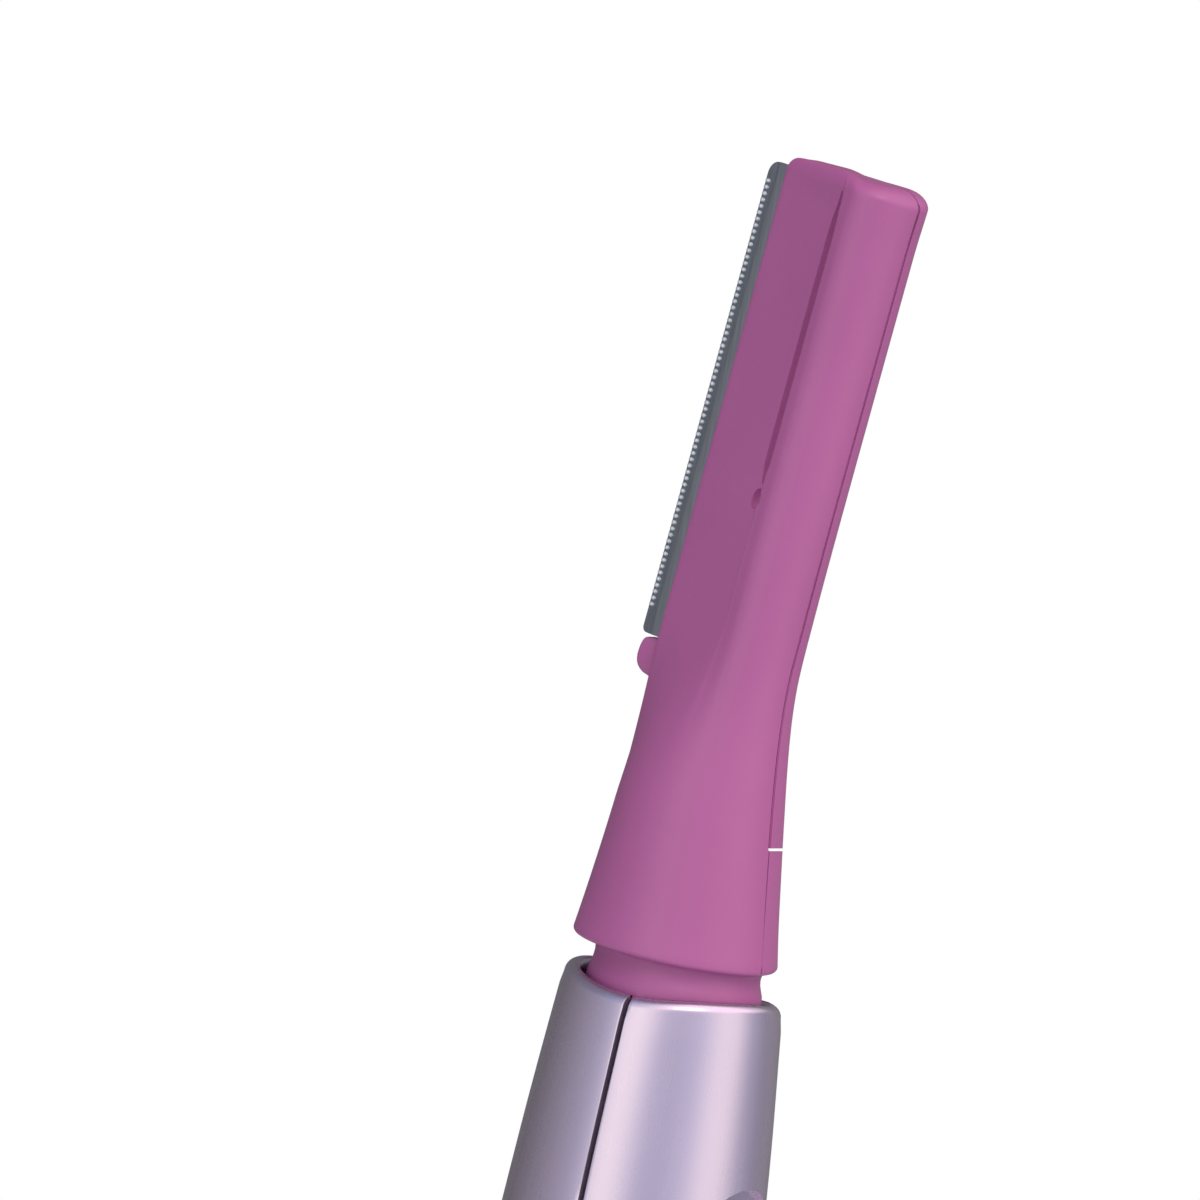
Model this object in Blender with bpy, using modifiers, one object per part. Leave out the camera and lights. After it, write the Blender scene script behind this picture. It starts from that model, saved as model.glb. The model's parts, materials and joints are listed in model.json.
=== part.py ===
"""Electric facial hair trimmer: slim battery handle, tilting head and a long side blade.

Z runs up the handle's axis from the flat foot, the blade faces -X and the slide switch +X.
The motor turns an eccentric pin about Z. A bell crank in the head turns that into the blade's
stroke along the head. All sizes are in metres.
"""

import math

import bmesh
import bpy
from mathutils import Matrix, Vector

# Handle, outside
RIM_Z = 0.104
HANDLE_MAX_RADIUS = 0.0089
HANDLE_WALL = 0.0010
RIM_ROUND = 0.0008
RIM_BORE = 0.0060
RIM_TILT_RISE = 0.0003
RIM_SADDLE_RISE = 0.0003
RIM_BEND_LENGTH = 0.012
PARTING_X = 0.00115
FOOT_RADIUS = 0.0062
FOOT_ROUND = 0.0011
FOOT_GROOVE_RADIUS = 0.0042
FOOT_GROOVE_WIDTH = 0.0006
FOOT_GROOVE_DEPTH = 0.0004
# Height as a share of the rim's height, radius as a share of the largest radius
HANDLE_RADIUS_SHARES = (
    (0.0, 0.80),
    (0.11, 0.87),
    (0.29, 0.945),
    (0.46, 0.987),
    (0.60, 1.0),
    (0.76, 0.983),
    (0.894, 0.888),
    (1.0, 0.772),
)
ROUND_STEPS = 36
SMALL_ROUND_STEPS = 16
PIN_SIDES = 16
SEAM_GAP = 0.0003

# Battery cover: the lower sleeve, pulled off downwards
COVER_TOP_Z = 0.048
COVER_FLOOR = 0.0022
COVER_BORE = 0.0065
COVER_SOCKET_RADIUS = 0.0076
COVER_SOCKET_DEPTH = 0.0070
SPIGOT_LENGTH = 0.0060
SPIGOT_RADIUS = 0.0073
SPIGOT_BORE = 0.00655
SEAL_RADIUS = 0.00725
SEAL_WIRE_RADIUS = 0.00027
SEAL_GROOVE_RADIUS = 0.0069
SEAL_GROOVE_WIDTH = 0.0010

# Battery, an AAA cell
CELL_RADIUS = 0.00525
CELL_LENGTH = 0.0445
CELL_TIP_RADIUS = 0.0019
CELL_TIP_HEIGHT = 0.0008
CELL_EDGE_ROUND = 0.0004
CELL_BASE_Z = 0.0095

# Chassis: battery cradle, motor tube and the ears that carry the head
CRADLE_BORE = 0.00555
CRADLE_RADIUS = 0.0062
CRADLE_BASE_Z = 0.0062
CRADLE_FLOOR = 0.0011
CRADLE_OPEN_X = 0.0015
PARTITION_GAP = 0.0012
PARTITION_THICKNESS = 0.0012
MOTOR_TUBE_BORE = 0.0053
MOTOR_TUBE_RADIUS = 0.00595
CHASSIS_TOP_THICKNESS = 0.0009
CHASSIS_TOP_BORE = 0.0031
RING_THICKNESS = 0.0015
LOWER_RING_Z = 0.0590
EAR_INNER_Y = 0.00465
EAR_THICKNESS = 0.0008
EAR_HALF_WIDTH = 0.0019
EAR_HEAD_ROOM = 0.0017
STRIP_SLOT_HALF_WIDTH = 0.0011
CONTACT_WINDOW_HALF_WIDTH = 0.0022

# Motor
MOTOR_RADIUS = 0.0050
MOTOR_LENGTH = 0.0180
MOTOR_TOP_Z = 0.0960
MOTOR_CAP_THICKNESS = 0.0015
MOTOR_BUSH_RADIUS = 0.0016
MOTOR_BUSH_HEIGHT = 0.0006
SHAFT_RADIUS = 0.0006
SHAFT_DEPTH = 0.0030
TERMINAL_WIDTH = 0.0012
TERMINAL_THICKNESS = 0.0004
TERMINAL_LENGTH = 0.0025
TERMINAL_OFFSET = 0.0030

# Eccentric on the motor's shaft
CAM_RADIUS = 0.0023
CAM_THICKNESS = 0.0012
CAM_BASE_Z = 0.0977
CAM_THROW = 0.0012
CAM_PIN_RADIUS = 0.0005
CAM_PIN_TOP_BELOW_RIM = 0.0014

# Head: its pivot and its neck
PIVOT_BELOW_RIM = 0.0030
PIVOT_PIN_RADIUS = 0.0008
RUNNING_CLEARANCE = 0.00015
NECK_RADIUS = 0.00537
NECK_BORE = 0.0043
NECK_SHOULDER_BELOW_RIM = 0.0006
BARREL_RADIUS = 0.00435
BARREL_BORE = 0.00345
BARREL_DEPTH = 0.0060
BARREL_WINDOW_HALF_WIDTH = 0.0031

# Head, outside: heights are above the rim
FLANGE_HEIGHT = 0.0024
FLANGE_RADIUS = 0.00640
FLANGE_ROUND = 0.0006
FLANGE_ROUND_SHARE = 0.3
CONE_END_HEIGHT = 0.0206
CONE_END_RADIUS = 0.00455
CONE_CURVE_POWER = 1.4
HEAD_OFFSET_X = -0.00039
HEAD_HEIGHT = 0.0520
HEAD_LEAN_SLOPE = 0.110
HEAD_BACK_X = 0.00195
HEAD_FRONT_X = -0.00733
BACK_BLEND = 0.0005
BLEND_START_HEIGHT = 0.0110
BLEND_END_HEIGHT = 0.0240
FRONT_HALF_THICKNESS = 0.0011
FRONT_CHAMFER = 0.0003
FLAT_END_BEHIND_BACK = 0.0042
FLAT_END_HALF_THICKNESS = 0.00268
BACK_HALF_THICKNESS = 0.0032
BACK_ROUND_LENGTH = 0.00275
GROOVE_HALF_WIDTH = 0.00028
GROOVE_DEPTH = 0.00045
GROOVE_LENGTH = 0.0202
GROOVE_END_SETBACK = 0.0010
GROOVE_END_HEIGHT = HEAD_HEIGHT - GROOVE_END_SETBACK
GROOVE_START_HEIGHT = GROOVE_END_HEIGHT - GROOVE_LENGTH
GROOVE_FADE = 0.0008
HEAD_TOP_ROUND = 0.0009
HEAD_WALL = 0.0009
HEAD_TOP_WALL = 0.0012
CAVITY_FRONT_SETBACK = 0.0019
COVER_SPLIT_HEIGHT = 0.0103

# Blades: depths are measured from the fixed blade's tooth tips, across the leaning head
BLADE_TIP_X = -0.00895
BLADE_SLOT_HALF_WIDTH = 0.00080
BLADE_SLOT_DEPTH = 0.0042
BLADE_ABOVE_CONE = 0.0006
BLADE_BELOW_TOP = 0.0006
BLADE_BASE_HEIGHT = CONE_END_HEIGHT + BLADE_ABOVE_CONE
BLADE_TOP_HEIGHT = HEAD_HEIGHT - BLADE_BELOW_TOP
BLADE_DEPTH = 0.0054
BLADE_SHOULDER_DEPTH = 0.0022
BLADE_THICKNESS = 0.0003
BLADE_CORNER = 0.0007
FIXED_BLADE_Y = -0.00045
MOVING_BLADE_Y = 0.0
MOVING_BLADE_SETBACK = 0.00025
TOOTH_PITCH = 0.00041
TOOTH_LENGTH = 0.00045
TOOTH_TIP_SHARE = 0.30
TOOTH_ROOT_SHARE = 0.62
TOOTH_MARGIN = 0.0012
RIVET_DEPTH = 0.0049
RIVET_RADIUS = 0.0003
RIVET_HOLE_RADIUS = 0.00048
RIVET_INSET = 0.0040
RIVET_SIDES = 10
STROKE_ROOM = 0.00045
CARRIER_FRONT_DEPTH = 0.0045
CARRIER_DEPTH = 0.0024
CARRIER_Y = 0.00035
CARRIER_THICKNESS = 0.00045
NUB_RADIUS = 0.00115
NUB_GAP = 0.00015
NUB_HEIGHT = BLADE_BASE_HEIGHT - NUB_RADIUS - NUB_GAP
NUB_PROUD = 0.0010
NUB_HALF_THICKNESS = 0.0005
TAIL_FRONT_DEPTH = 0.0034
TAIL_BACK_DEPTH = 0.0054
TAIL_BASE_HEIGHT = 0.0114

# Bell crank in the head
LEVER_PIVOT_HEIGHT = 0.0125
LEVER_PIVOT_X = 0.0010
LEVER_ARM_LENGTH = 0.0040
LEVER_ARM_RISE = 0.00044
LEVER_Y = 0.00035
LEVER_THICKNESS = 0.0011
LEVER_HUB_RADIUS = 0.0017
LEVER_ARM_HALF_WIDTH = 0.0009
LEVER_PIN_RADIUS = 0.0006
LEVER_BOSS_RADIUS = 0.0014
LEVER_BOSS_GAP = 0.0003
LEVER_PIN_SEAT = 0.0018
DRIVE_PIN_RADIUS = 0.0005
FORK_SLOT_HALF_WIDTH = 0.00205
FORK_PRONG = 0.0006
FORK_HALF_DEPTH = 0.0019
FORK_BASE_BELOW_RIM = 0.0043
FORK_ROOF_BELOW_RIM = 0.0009
FORK_BRIDGE = 0.0011

# Switch
RECESS_BASE_Z = 0.0730
RECESS_TOP_Z = 0.0930
RECESS_HALF_WIDTH = 0.0042
RECESS_FLOOR_X = 0.0072
PAD_MARGIN = 0.0010
PAD_INNER_X = 0.00635
SLIDER_LENGTH = 0.0150
SLIDER_CLEARANCE = 0.0004
SLIDER_PROUD = 0.0004
SLIDER_ROUND = 0.0005
SLIDER_TRAVEL = 0.0042
STEM_HALF_WIDTH = 0.0007
STEM_LENGTH = 0.0050
STEM_INNER_X = 0.0062
STEM_SLOT_CLEARANCE = 0.0003
RIDGE_COUNT = 5
RIDGE_SPACING = 0.0018
RIDGE_RADIUS = 0.00035
WIPER_THICKNESS = 0.00015
CONTACT_THICKNESS = 0.0003
CONTACT_GAP = 0.00035

# Small electrical pieces
SPRING_WIRE_RADIUS = 0.00022
SPRING_RADIUS = 0.0030
SPRING_TURNS = 2.5
SPRING_POINTS_PER_TURN = 9
POSITIVE_DISC_RADIUS = 0.0034
POSITIVE_DISC_THICKNESS = 0.0003
STRIP_HALF_WIDTH = 0.0008
LEAF_HALF_WIDTH = 0.0008
LEAF_THICKNESS = 0.00012
LEAF_OFFSET_Y = 0.00385
LEAF_NOTCH_HALF_WIDTH = 0.00028
LEAF_NOTCH_DEPTH = 0.0009
BOARD_HALF_WIDTH = 0.0045
BOARD_THICKNESS = 0.0008

COLLECTION_NAME = "facial_trimmer"
CUTTER_COLLECTION_NAME = "cutters"
CUT_OVERRUN = 0.002
MERGE_DISTANCE = 0.000005

HEAD_COLOUR = (0.47, 0.11, 0.29, 1.0)
HANDLE_COLOUR = (0.47, 0.38, 0.53, 1.0)
STEEL_COLOUR = (0.34, 0.34, 0.37, 1.0)
BRIGHT_STEEL_COLOUR = (0.62, 0.62, 0.65, 1.0)
BRASS_COLOUR = (0.72, 0.52, 0.22, 1.0)
BLACK_COLOUR = (0.03, 0.03, 0.03, 1.0)
WHITE_COLOUR = (0.75, 0.75, 0.75, 1.0)
CELL_COLOUR = (0.10, 0.16, 0.12, 1.0)
BOARD_COLOUR = (0.05, 0.22, 0.10, 1.0)
POLISHED_ROUGHNESS = 0.25
LACQUER_ROUGHNESS = 0.30
GLOSS_ROUGHNESS = 0.35
MATTE_ROUGHNESS = 0.50
PLASTIC = 0.0
LACQUERED_METAL = 0.85
BARE_METAL = 1.0


def clear_scene():
    """Remove whatever the opened scene holds."""
    for item in list(bpy.data.objects):
        bpy.data.objects.remove(item, do_unlink=True)


def new_collection(name):
    """Add a collection to the scene."""
    collection = bpy.data.collections.new(name)
    bpy.context.scene.collection.children.link(collection)
    return collection


def principled(name, colour, roughness, metallic):
    """Make one plain Principled material."""
    material = bpy.data.materials.new(name)
    material.use_nodes = True
    shader = material.node_tree.nodes["Principled BSDF"]
    shader.inputs["Base Color"].default_value = colour
    shader.inputs["Roughness"].default_value = roughness
    shader.inputs["Metallic"].default_value = metallic
    material.diffuse_color = colour
    return material


def link_object(name, mesh, collection, material=None):
    """Put a mesh in a collection as a named object."""
    item = bpy.data.objects.new(name, mesh)
    if material is not None:
        mesh.materials.clear()
        mesh.materials.append(material)
    collection.objects.link(item)
    return item


def finish_mesh(name, bm):
    """Close a bmesh into a mesh whose faces point out."""
    bmesh.ops.remove_doubles(bm, verts=bm.verts, dist=MERGE_DISTANCE)
    bmesh.ops.recalc_face_normals(bm, faces=bm.faces)
    mesh = bpy.data.meshes.new(name)
    bm.to_mesh(mesh)
    bm.free()
    return mesh


def baked_mesh(item):
    """Return an object's mesh with its modifiers applied, and remove the object."""
    graph = bpy.context.evaluated_depsgraph_get()
    mesh = bpy.data.meshes.new_from_object(item.evaluated_get(graph))
    mesh.transform(item.matrix_world)
    bpy.data.objects.remove(item, do_unlink=True)
    bm = bmesh.new()
    bm.from_mesh(mesh)
    bpy.data.meshes.remove(mesh)
    return finish_mesh("baked", bm)


def turned_mesh(profile, steps=ROUND_STEPS, closed=False):
    """Turn a profile of (radius, z) points about Z, listed down its outer side."""
    mesh = bpy.data.meshes.new("profile")
    points = [(radius, 0, z) for radius, z in profile]
    edges = [(i, i + 1) for i in range(len(points) - 1)]
    if closed:
        edges.append((len(points) - 1, 0))
    mesh.from_pydata(points, edges, [])
    item = bpy.data.objects.new("profile", mesh)
    bpy.context.scene.collection.objects.link(item)
    screw = item.modifiers.new("turn", "SCREW")
    screw.axis = "Z"
    screw.steps = steps
    screw.render_steps = steps
    screw.use_merge_vertices = True
    screw.merge_threshold = MERGE_DISTANCE
    bpy.context.view_layer.update()
    return baked_mesh(item)


def box_mesh(low, high):
    """A box between two corners."""
    bm = bmesh.new()
    size = Vector(high) - Vector(low)
    middle = (Vector(high) + Vector(low)) / 2
    matrix = Matrix.Translation(middle) @ Matrix.Diagonal((*size, 1.0))
    bmesh.ops.create_cube(bm, size=1.0, matrix=matrix)
    return finish_mesh("box", bm)


def cylinder_mesh(start, end, radius, sides=PIN_SIDES):
    """A cylinder between two points."""
    bm = bmesh.new()
    run = Vector(end) - Vector(start)
    middle = (Vector(end) + Vector(start)) / 2
    turn = run.to_track_quat("Z", "Y").to_matrix().to_4x4()
    bmesh.ops.create_cone(
        bm,
        cap_ends=True,
        segments=sides,
        radius1=radius,
        radius2=radius,
        depth=run.length,
        matrix=Matrix.Translation(middle) @ turn,
    )
    return finish_mesh("cylinder", bm)


def plate_mesh(outline, y_low, y_high, holes=()):
    """A flat plate in the XZ plane from an outline and holes, between two Y values."""
    curve = bpy.data.curves.new("plate", "CURVE")
    curve.dimensions = "2D"
    curve.fill_mode = "BOTH"
    curve.extrude = (y_high - y_low) / 2
    for loop in (outline, *holes):
        spline = curve.splines.new("POLY")
        spline.points.add(len(loop) - 1)
        for point, (x, z) in zip(spline.points, loop):
            point.co = (x, z, 0, 1)
        spline.use_cyclic_u = True
    item = bpy.data.objects.new("plate", curve)
    bpy.context.scene.collection.objects.link(item)
    item.rotation_euler = (math.radians(90), 0, 0)
    item.location = (0, (y_high + y_low) / 2, 0)
    bpy.context.view_layer.update()
    return baked_mesh(item)


def circle_points(x, z, radius, sides=PIN_SIDES):
    """Points of a circle in the XZ plane."""
    turns = [2 * math.pi * (i + 0.5) / sides for i in range(sides)]
    return [(x + radius * math.cos(t), z + radius * math.sin(t)) for t in turns]


class Workshop:
    """Keeps the collections and materials, and joins meshes into finished pieces."""

    def __init__(self):
        self.parts = new_collection(COLLECTION_NAME)
        self.cutters = new_collection(CUTTER_COLLECTION_NAME)
        self.count = 0

    def cutter(self, mesh):
        """Add a hidden object whose mesh cuts or joins a piece."""
        self.count += 1
        item = link_object(f"cutter_{self.count:02d}", mesh, self.cutters)
        item.hide_render = True
        item.display_type = "WIRE"
        return item

    def combine(self, item, mesh, operation, solver):
        """Cut, join or intersect an object with a mesh."""
        step = item.modifiers.new(operation.lower(), "BOOLEAN")
        step.operation = operation
        step.solver = solver
        step.object = self.cutter(mesh)
        return item

    def solid(self, mesh, *steps, solver="EXACT"):
        """Apply (operation, mesh) steps to a mesh and return the result."""
        item = link_object("working", mesh, self.parts)
        for operation, tool in steps:
            self.combine(item, tool, operation, solver)
        bpy.context.view_layer.update()
        return baked_mesh(item)

    def piece(self, name, mesh, material, origin=(0, 0, 0)):
        """Add a finished piece whose object origin is at a world point."""
        mesh.transform(Matrix.Translation(-Vector(origin)))
        mesh.name = name
        item = link_object(name, mesh, self.parts, material)
        item.location = origin
        mesh.shade_smooth()
        mesh.set_sharp_from_angle(angle=math.radians(30))
        return item


def smooth_share(value, low, high):
    """Ease from 0 at low to 1 at high."""
    share = min(max((value - low) / (high - low), 0), 1)
    return share * share * (3 - 2 * share)


def handle_radius(z):
    """Outer radius of the handle at a height, read from a smooth curve through the shares."""
    table = HANDLE_RADIUS_SHARES
    share = z / RIM_Z
    i = 0
    while i < len(table) - 2 and share > table[i + 1][0]:
        i += 1
    last = len(table) - 1
    before, start, end, after = (table[min(max(i + k, 0), last)] for k in (-1, 0, 1, 2))
    width = end[0] - start[0]
    t = (share - start[0]) / width
    slope_in = (end[1] - before[1]) / (end[0] - before[0]) * width
    slope_out = (after[1] - start[1]) / (after[0] - start[0]) * width
    value = (
        (2 * t**3 - 3 * t**2 + 1) * start[1]
        + (t**3 - 2 * t**2 + t) * slope_in
        + (3 * t**2 - 2 * t**3) * end[1]
        + (t**3 - t**2) * slope_out
    )
    return value * HANDLE_MAX_RADIUS


def spread(low, high, count):
    """Evenly spaced values from low to high, both included."""
    return [low + (high - low) * i / (count - 1) for i in range(count)]


def arc(radius, z, size, start, end, count=4):
    """Profile points on an arc about (radius, z), with angles in degrees from the outward side."""
    turns = [math.radians(angle) for angle in spread(start, end, count)]
    return [(radius + size * math.cos(t), z + size * math.sin(t)) for t in turns]


def bend_rim(mesh):
    """Tilt and saddle the rim: higher toward the blade and toward both X sides."""
    for vertex in mesh.vertices:
        share = smooth_share(vertex.co.z, RIM_Z - RIM_BEND_LENGTH, RIM_Z)
        across = vertex.co.x / handle_radius(RIM_Z)
        vertex.co.z += share * (RIM_SADDLE_RISE * across**2 - RIM_TILT_RISE * across)
    return mesh


def make_shells(shop, material):
    """The two upper handle shells, parted by a plane across X."""
    base = COVER_TOP_Z + SEAM_GAP
    spigot_base = COVER_TOP_Z - SPIGOT_LENGTH
    rim = handle_radius(RIM_Z)
    heights = spread(RIM_Z - 2 * RIM_ROUND, base, 9)
    groove_z = spigot_base + SPIGOT_LENGTH / 2
    outside = arc(rim - RIM_ROUND, RIM_Z - RIM_ROUND, RIM_ROUND, 90, 0)
    outside += [(handle_radius(z), z) for z in heights]
    outside += [(SPIGOT_RADIUS, base)]
    outside += [(SPIGOT_RADIUS, groove_z + SEAL_GROOVE_WIDTH / 2)]
    outside += [(SEAL_GROOVE_RADIUS, groove_z + SEAL_GROOVE_WIDTH / 2)]
    outside += [(SEAL_GROOVE_RADIUS, groove_z - SEAL_GROOVE_WIDTH / 2)]
    outside += [(SPIGOT_RADIUS, groove_z - SEAL_GROOVE_WIDTH / 2)]
    outside += [(SPIGOT_RADIUS, spigot_base), (0, spigot_base)]
    solid = bend_rim(turned_mesh([(0, RIM_Z)] + outside))

    inner_base = base + HANDLE_WALL
    inner_top = RIM_Z - 2 * RIM_ROUND
    bore_z = RIM_Z - (handle_radius(inner_top) - HANDLE_WALL - RIM_BORE) - RIM_ROUND
    hollow = [(0, RIM_Z + CUT_OVERRUN), (RIM_BORE, RIM_Z + CUT_OVERRUN), (RIM_BORE, bore_z)]
    hollow += [(handle_radius(z) - HANDLE_WALL, z) for z in spread(bore_z - RIM_ROUND, inner_base, 7)]
    hollow += [(SPIGOT_BORE, inner_base), (SPIGOT_BORE, spigot_base - CUT_OVERRUN)]
    hollow += [(0, spigot_base - CUT_OVERRUN)]
    pad = box_mesh(
        (PAD_INNER_X, -RECESS_HALF_WIDTH - PAD_MARGIN, RECESS_BASE_Z - PAD_MARGIN),
        (HANDLE_MAX_RADIUS + CUT_OVERRUN, RECESS_HALF_WIDTH + PAD_MARGIN, RECESS_TOP_Z + PAD_MARGIN),
    )
    hollow_mesh = shop.solid(turned_mesh(hollow), ("DIFFERENCE", pad))
    shell = shop.solid(solid, ("DIFFERENCE", hollow_mesh))

    reach = HANDLE_MAX_RADIUS + CUT_OVERRUN
    low_z = spigot_base - CUT_OVERRUN
    high_z = RIM_Z + CUT_OVERRUN
    front_keep = box_mesh((PARTING_X + SEAM_GAP / 2, -reach, low_z), (reach, reach, high_z))
    rear_keep = box_mesh((-reach, -reach, low_z), (PARTING_X - SEAM_GAP / 2, reach, high_z))
    stem_slot = box_mesh(
        (0, -STEM_HALF_WIDTH - STEM_SLOT_CLEARANCE, stem_low_z() - STEM_SLOT_CLEARANCE),
        (
            reach,
            STEM_HALF_WIDTH + STEM_SLOT_CLEARANCE,
            stem_low_z() + STEM_LENGTH + SLIDER_TRAVEL + STEM_SLOT_CLEARANCE,
        ),
    )
    recess = stadium_mesh(RECESS_BASE_Z, RECESS_TOP_Z, RECESS_HALF_WIDTH, RECESS_FLOOR_X, reach)
    rear_copy = shell.copy()
    front = shop.solid(
        shell, ("INTERSECT", front_keep), ("DIFFERENCE", recess), ("DIFFERENCE", stem_slot)
    )
    rear = shop.solid(rear_copy, ("INTERSECT", rear_keep))
    shop.piece("handle_front_shell", front, material)
    shop.piece("handle_rear_shell", rear, material)


def stadium_mesh(base_z, top_z, half_width, x_low, x_high, sides=12):
    """A prism along X whose outline in YZ is straight with round ends."""
    bm = bmesh.new()
    verts = []
    for centre_z, first in ((top_z - half_width, 0), (base_z + half_width, 180)):
        for angle in spread(first, first + 180, sides + 1):
            t = math.radians(angle)
            point = (x_low, half_width * math.cos(t), centre_z + half_width * math.sin(t))
            verts.append(bm.verts.new(point))
    face = bm.faces.new(verts)
    made = bmesh.ops.extrude_face_region(bm, geom=[face])
    moved = [v for v in made["geom"] if isinstance(v, bmesh.types.BMVert)]
    bmesh.ops.translate(bm, verts=moved, vec=(x_high - x_low, 0, 0))
    return finish_mesh("stadium", bm)


def slider_base_z():
    """Lower end of the switch slider, at rest in the off place."""
    return RECESS_BASE_Z + SLIDER_CLEARANCE


def stem_low_z():
    """Lower end of the slider's stem."""
    return slider_base_z() + (SLIDER_LENGTH - STEM_LENGTH) / 2


def make_switch(shop, material, metal):
    """The slide switch's button with its stem and grip ridges, and the wiper on the stem."""
    base = slider_base_z()
    top = base + SLIDER_LENGTH
    half = RECESS_HALF_WIDTH - SLIDER_CLEARANCE
    middle = (base + top) / 2
    face_x = handle_radius(middle) + SLIDER_PROUD
    floor_x = RECESS_FLOOR_X + RUNNING_CLEARANCE
    crown = cylinder_mesh(
        (0, 0, base - CUT_OVERRUN), (0, 0, top + CUT_OVERRUN), face_x, 2 * ROUND_STEPS
    )
    body = stadium_mesh(base, top, half, floor_x, face_x + CUT_OVERRUN)
    stem = box_mesh(
        (STEM_INNER_X, -STEM_HALF_WIDTH, stem_low_z()),
        (floor_x + SLIDER_ROUND, STEM_HALF_WIDTH, stem_low_z() + STEM_LENGTH),
    )
    steps = [("INTERSECT", crown), ("UNION", stem)]
    for i in range(RIDGE_COUNT):
        z = middle + (i - (RIDGE_COUNT - 1) / 2) * RIDGE_SPACING
        ridge = cylinder_mesh((face_x, -half / 2, z), (face_x, half / 2, z), RIDGE_RADIUS, 8)
        steps.append(("DIFFERENCE", ridge))
    origin = (floor_x, 0, base)
    shop.piece("switch_slider", shop.solid(body, *steps), material, origin)
    wiper = box_mesh(
        (STEM_INNER_X - SEAM_GAP / 2 - WIPER_THICKNESS, -STEM_HALF_WIDTH, stem_low_z()),
        (STEM_INNER_X - SEAM_GAP / 2, STEM_HALF_WIDTH, stem_low_z() + STEM_LENGTH),
    )
    shop.piece("switch_wiper", wiper, metal, origin)


def make_cover(shop, material, rubber):
    """The battery cover, a turned sleeve with a closed foot, and the seal ring above it."""
    outside = [(handle_radius(z), z) for z in spread(COVER_TOP_Z, 2 * FOOT_ROUND, 7)]
    outside += arc(FOOT_RADIUS, FOOT_ROUND, FOOT_ROUND, 0, -90)
    groove_inner = FOOT_GROOVE_RADIUS - FOOT_GROOVE_WIDTH
    outside += [(FOOT_GROOVE_RADIUS, 0), (FOOT_GROOVE_RADIUS, FOOT_GROOVE_DEPTH)]
    outside += [(groove_inner, FOOT_GROOVE_DEPTH), (groove_inner, 0), (0, 0)]
    step_z = COVER_TOP_Z - COVER_SOCKET_DEPTH
    inside = [(0, COVER_FLOOR), (COVER_BORE - FOOT_ROUND / 2, COVER_FLOOR)]
    inside += [(COVER_BORE, COVER_FLOOR + FOOT_ROUND / 2), (COVER_BORE, step_z)]
    inside += [(COVER_SOCKET_RADIUS, step_z), (COVER_SOCKET_RADIUS, COVER_TOP_Z)]
    shop.piece("battery_cover", turned_mesh(inside + outside), material)

    groove_z = COVER_TOP_Z - SPIGOT_LENGTH / 2
    ring = arc(SEAL_RADIUS, groove_z, SEAL_WIRE_RADIUS, 90, -210, 6)
    shop.piece("seal_ring", turned_mesh(ring, closed=True), rubber)


def cell_top_z():
    """Top of the battery's tip."""
    return CELL_BASE_Z + CELL_LENGTH


def partition_z():
    """Underside of the chassis wall between battery and motor."""
    return cell_top_z() + PARTITION_GAP


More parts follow.
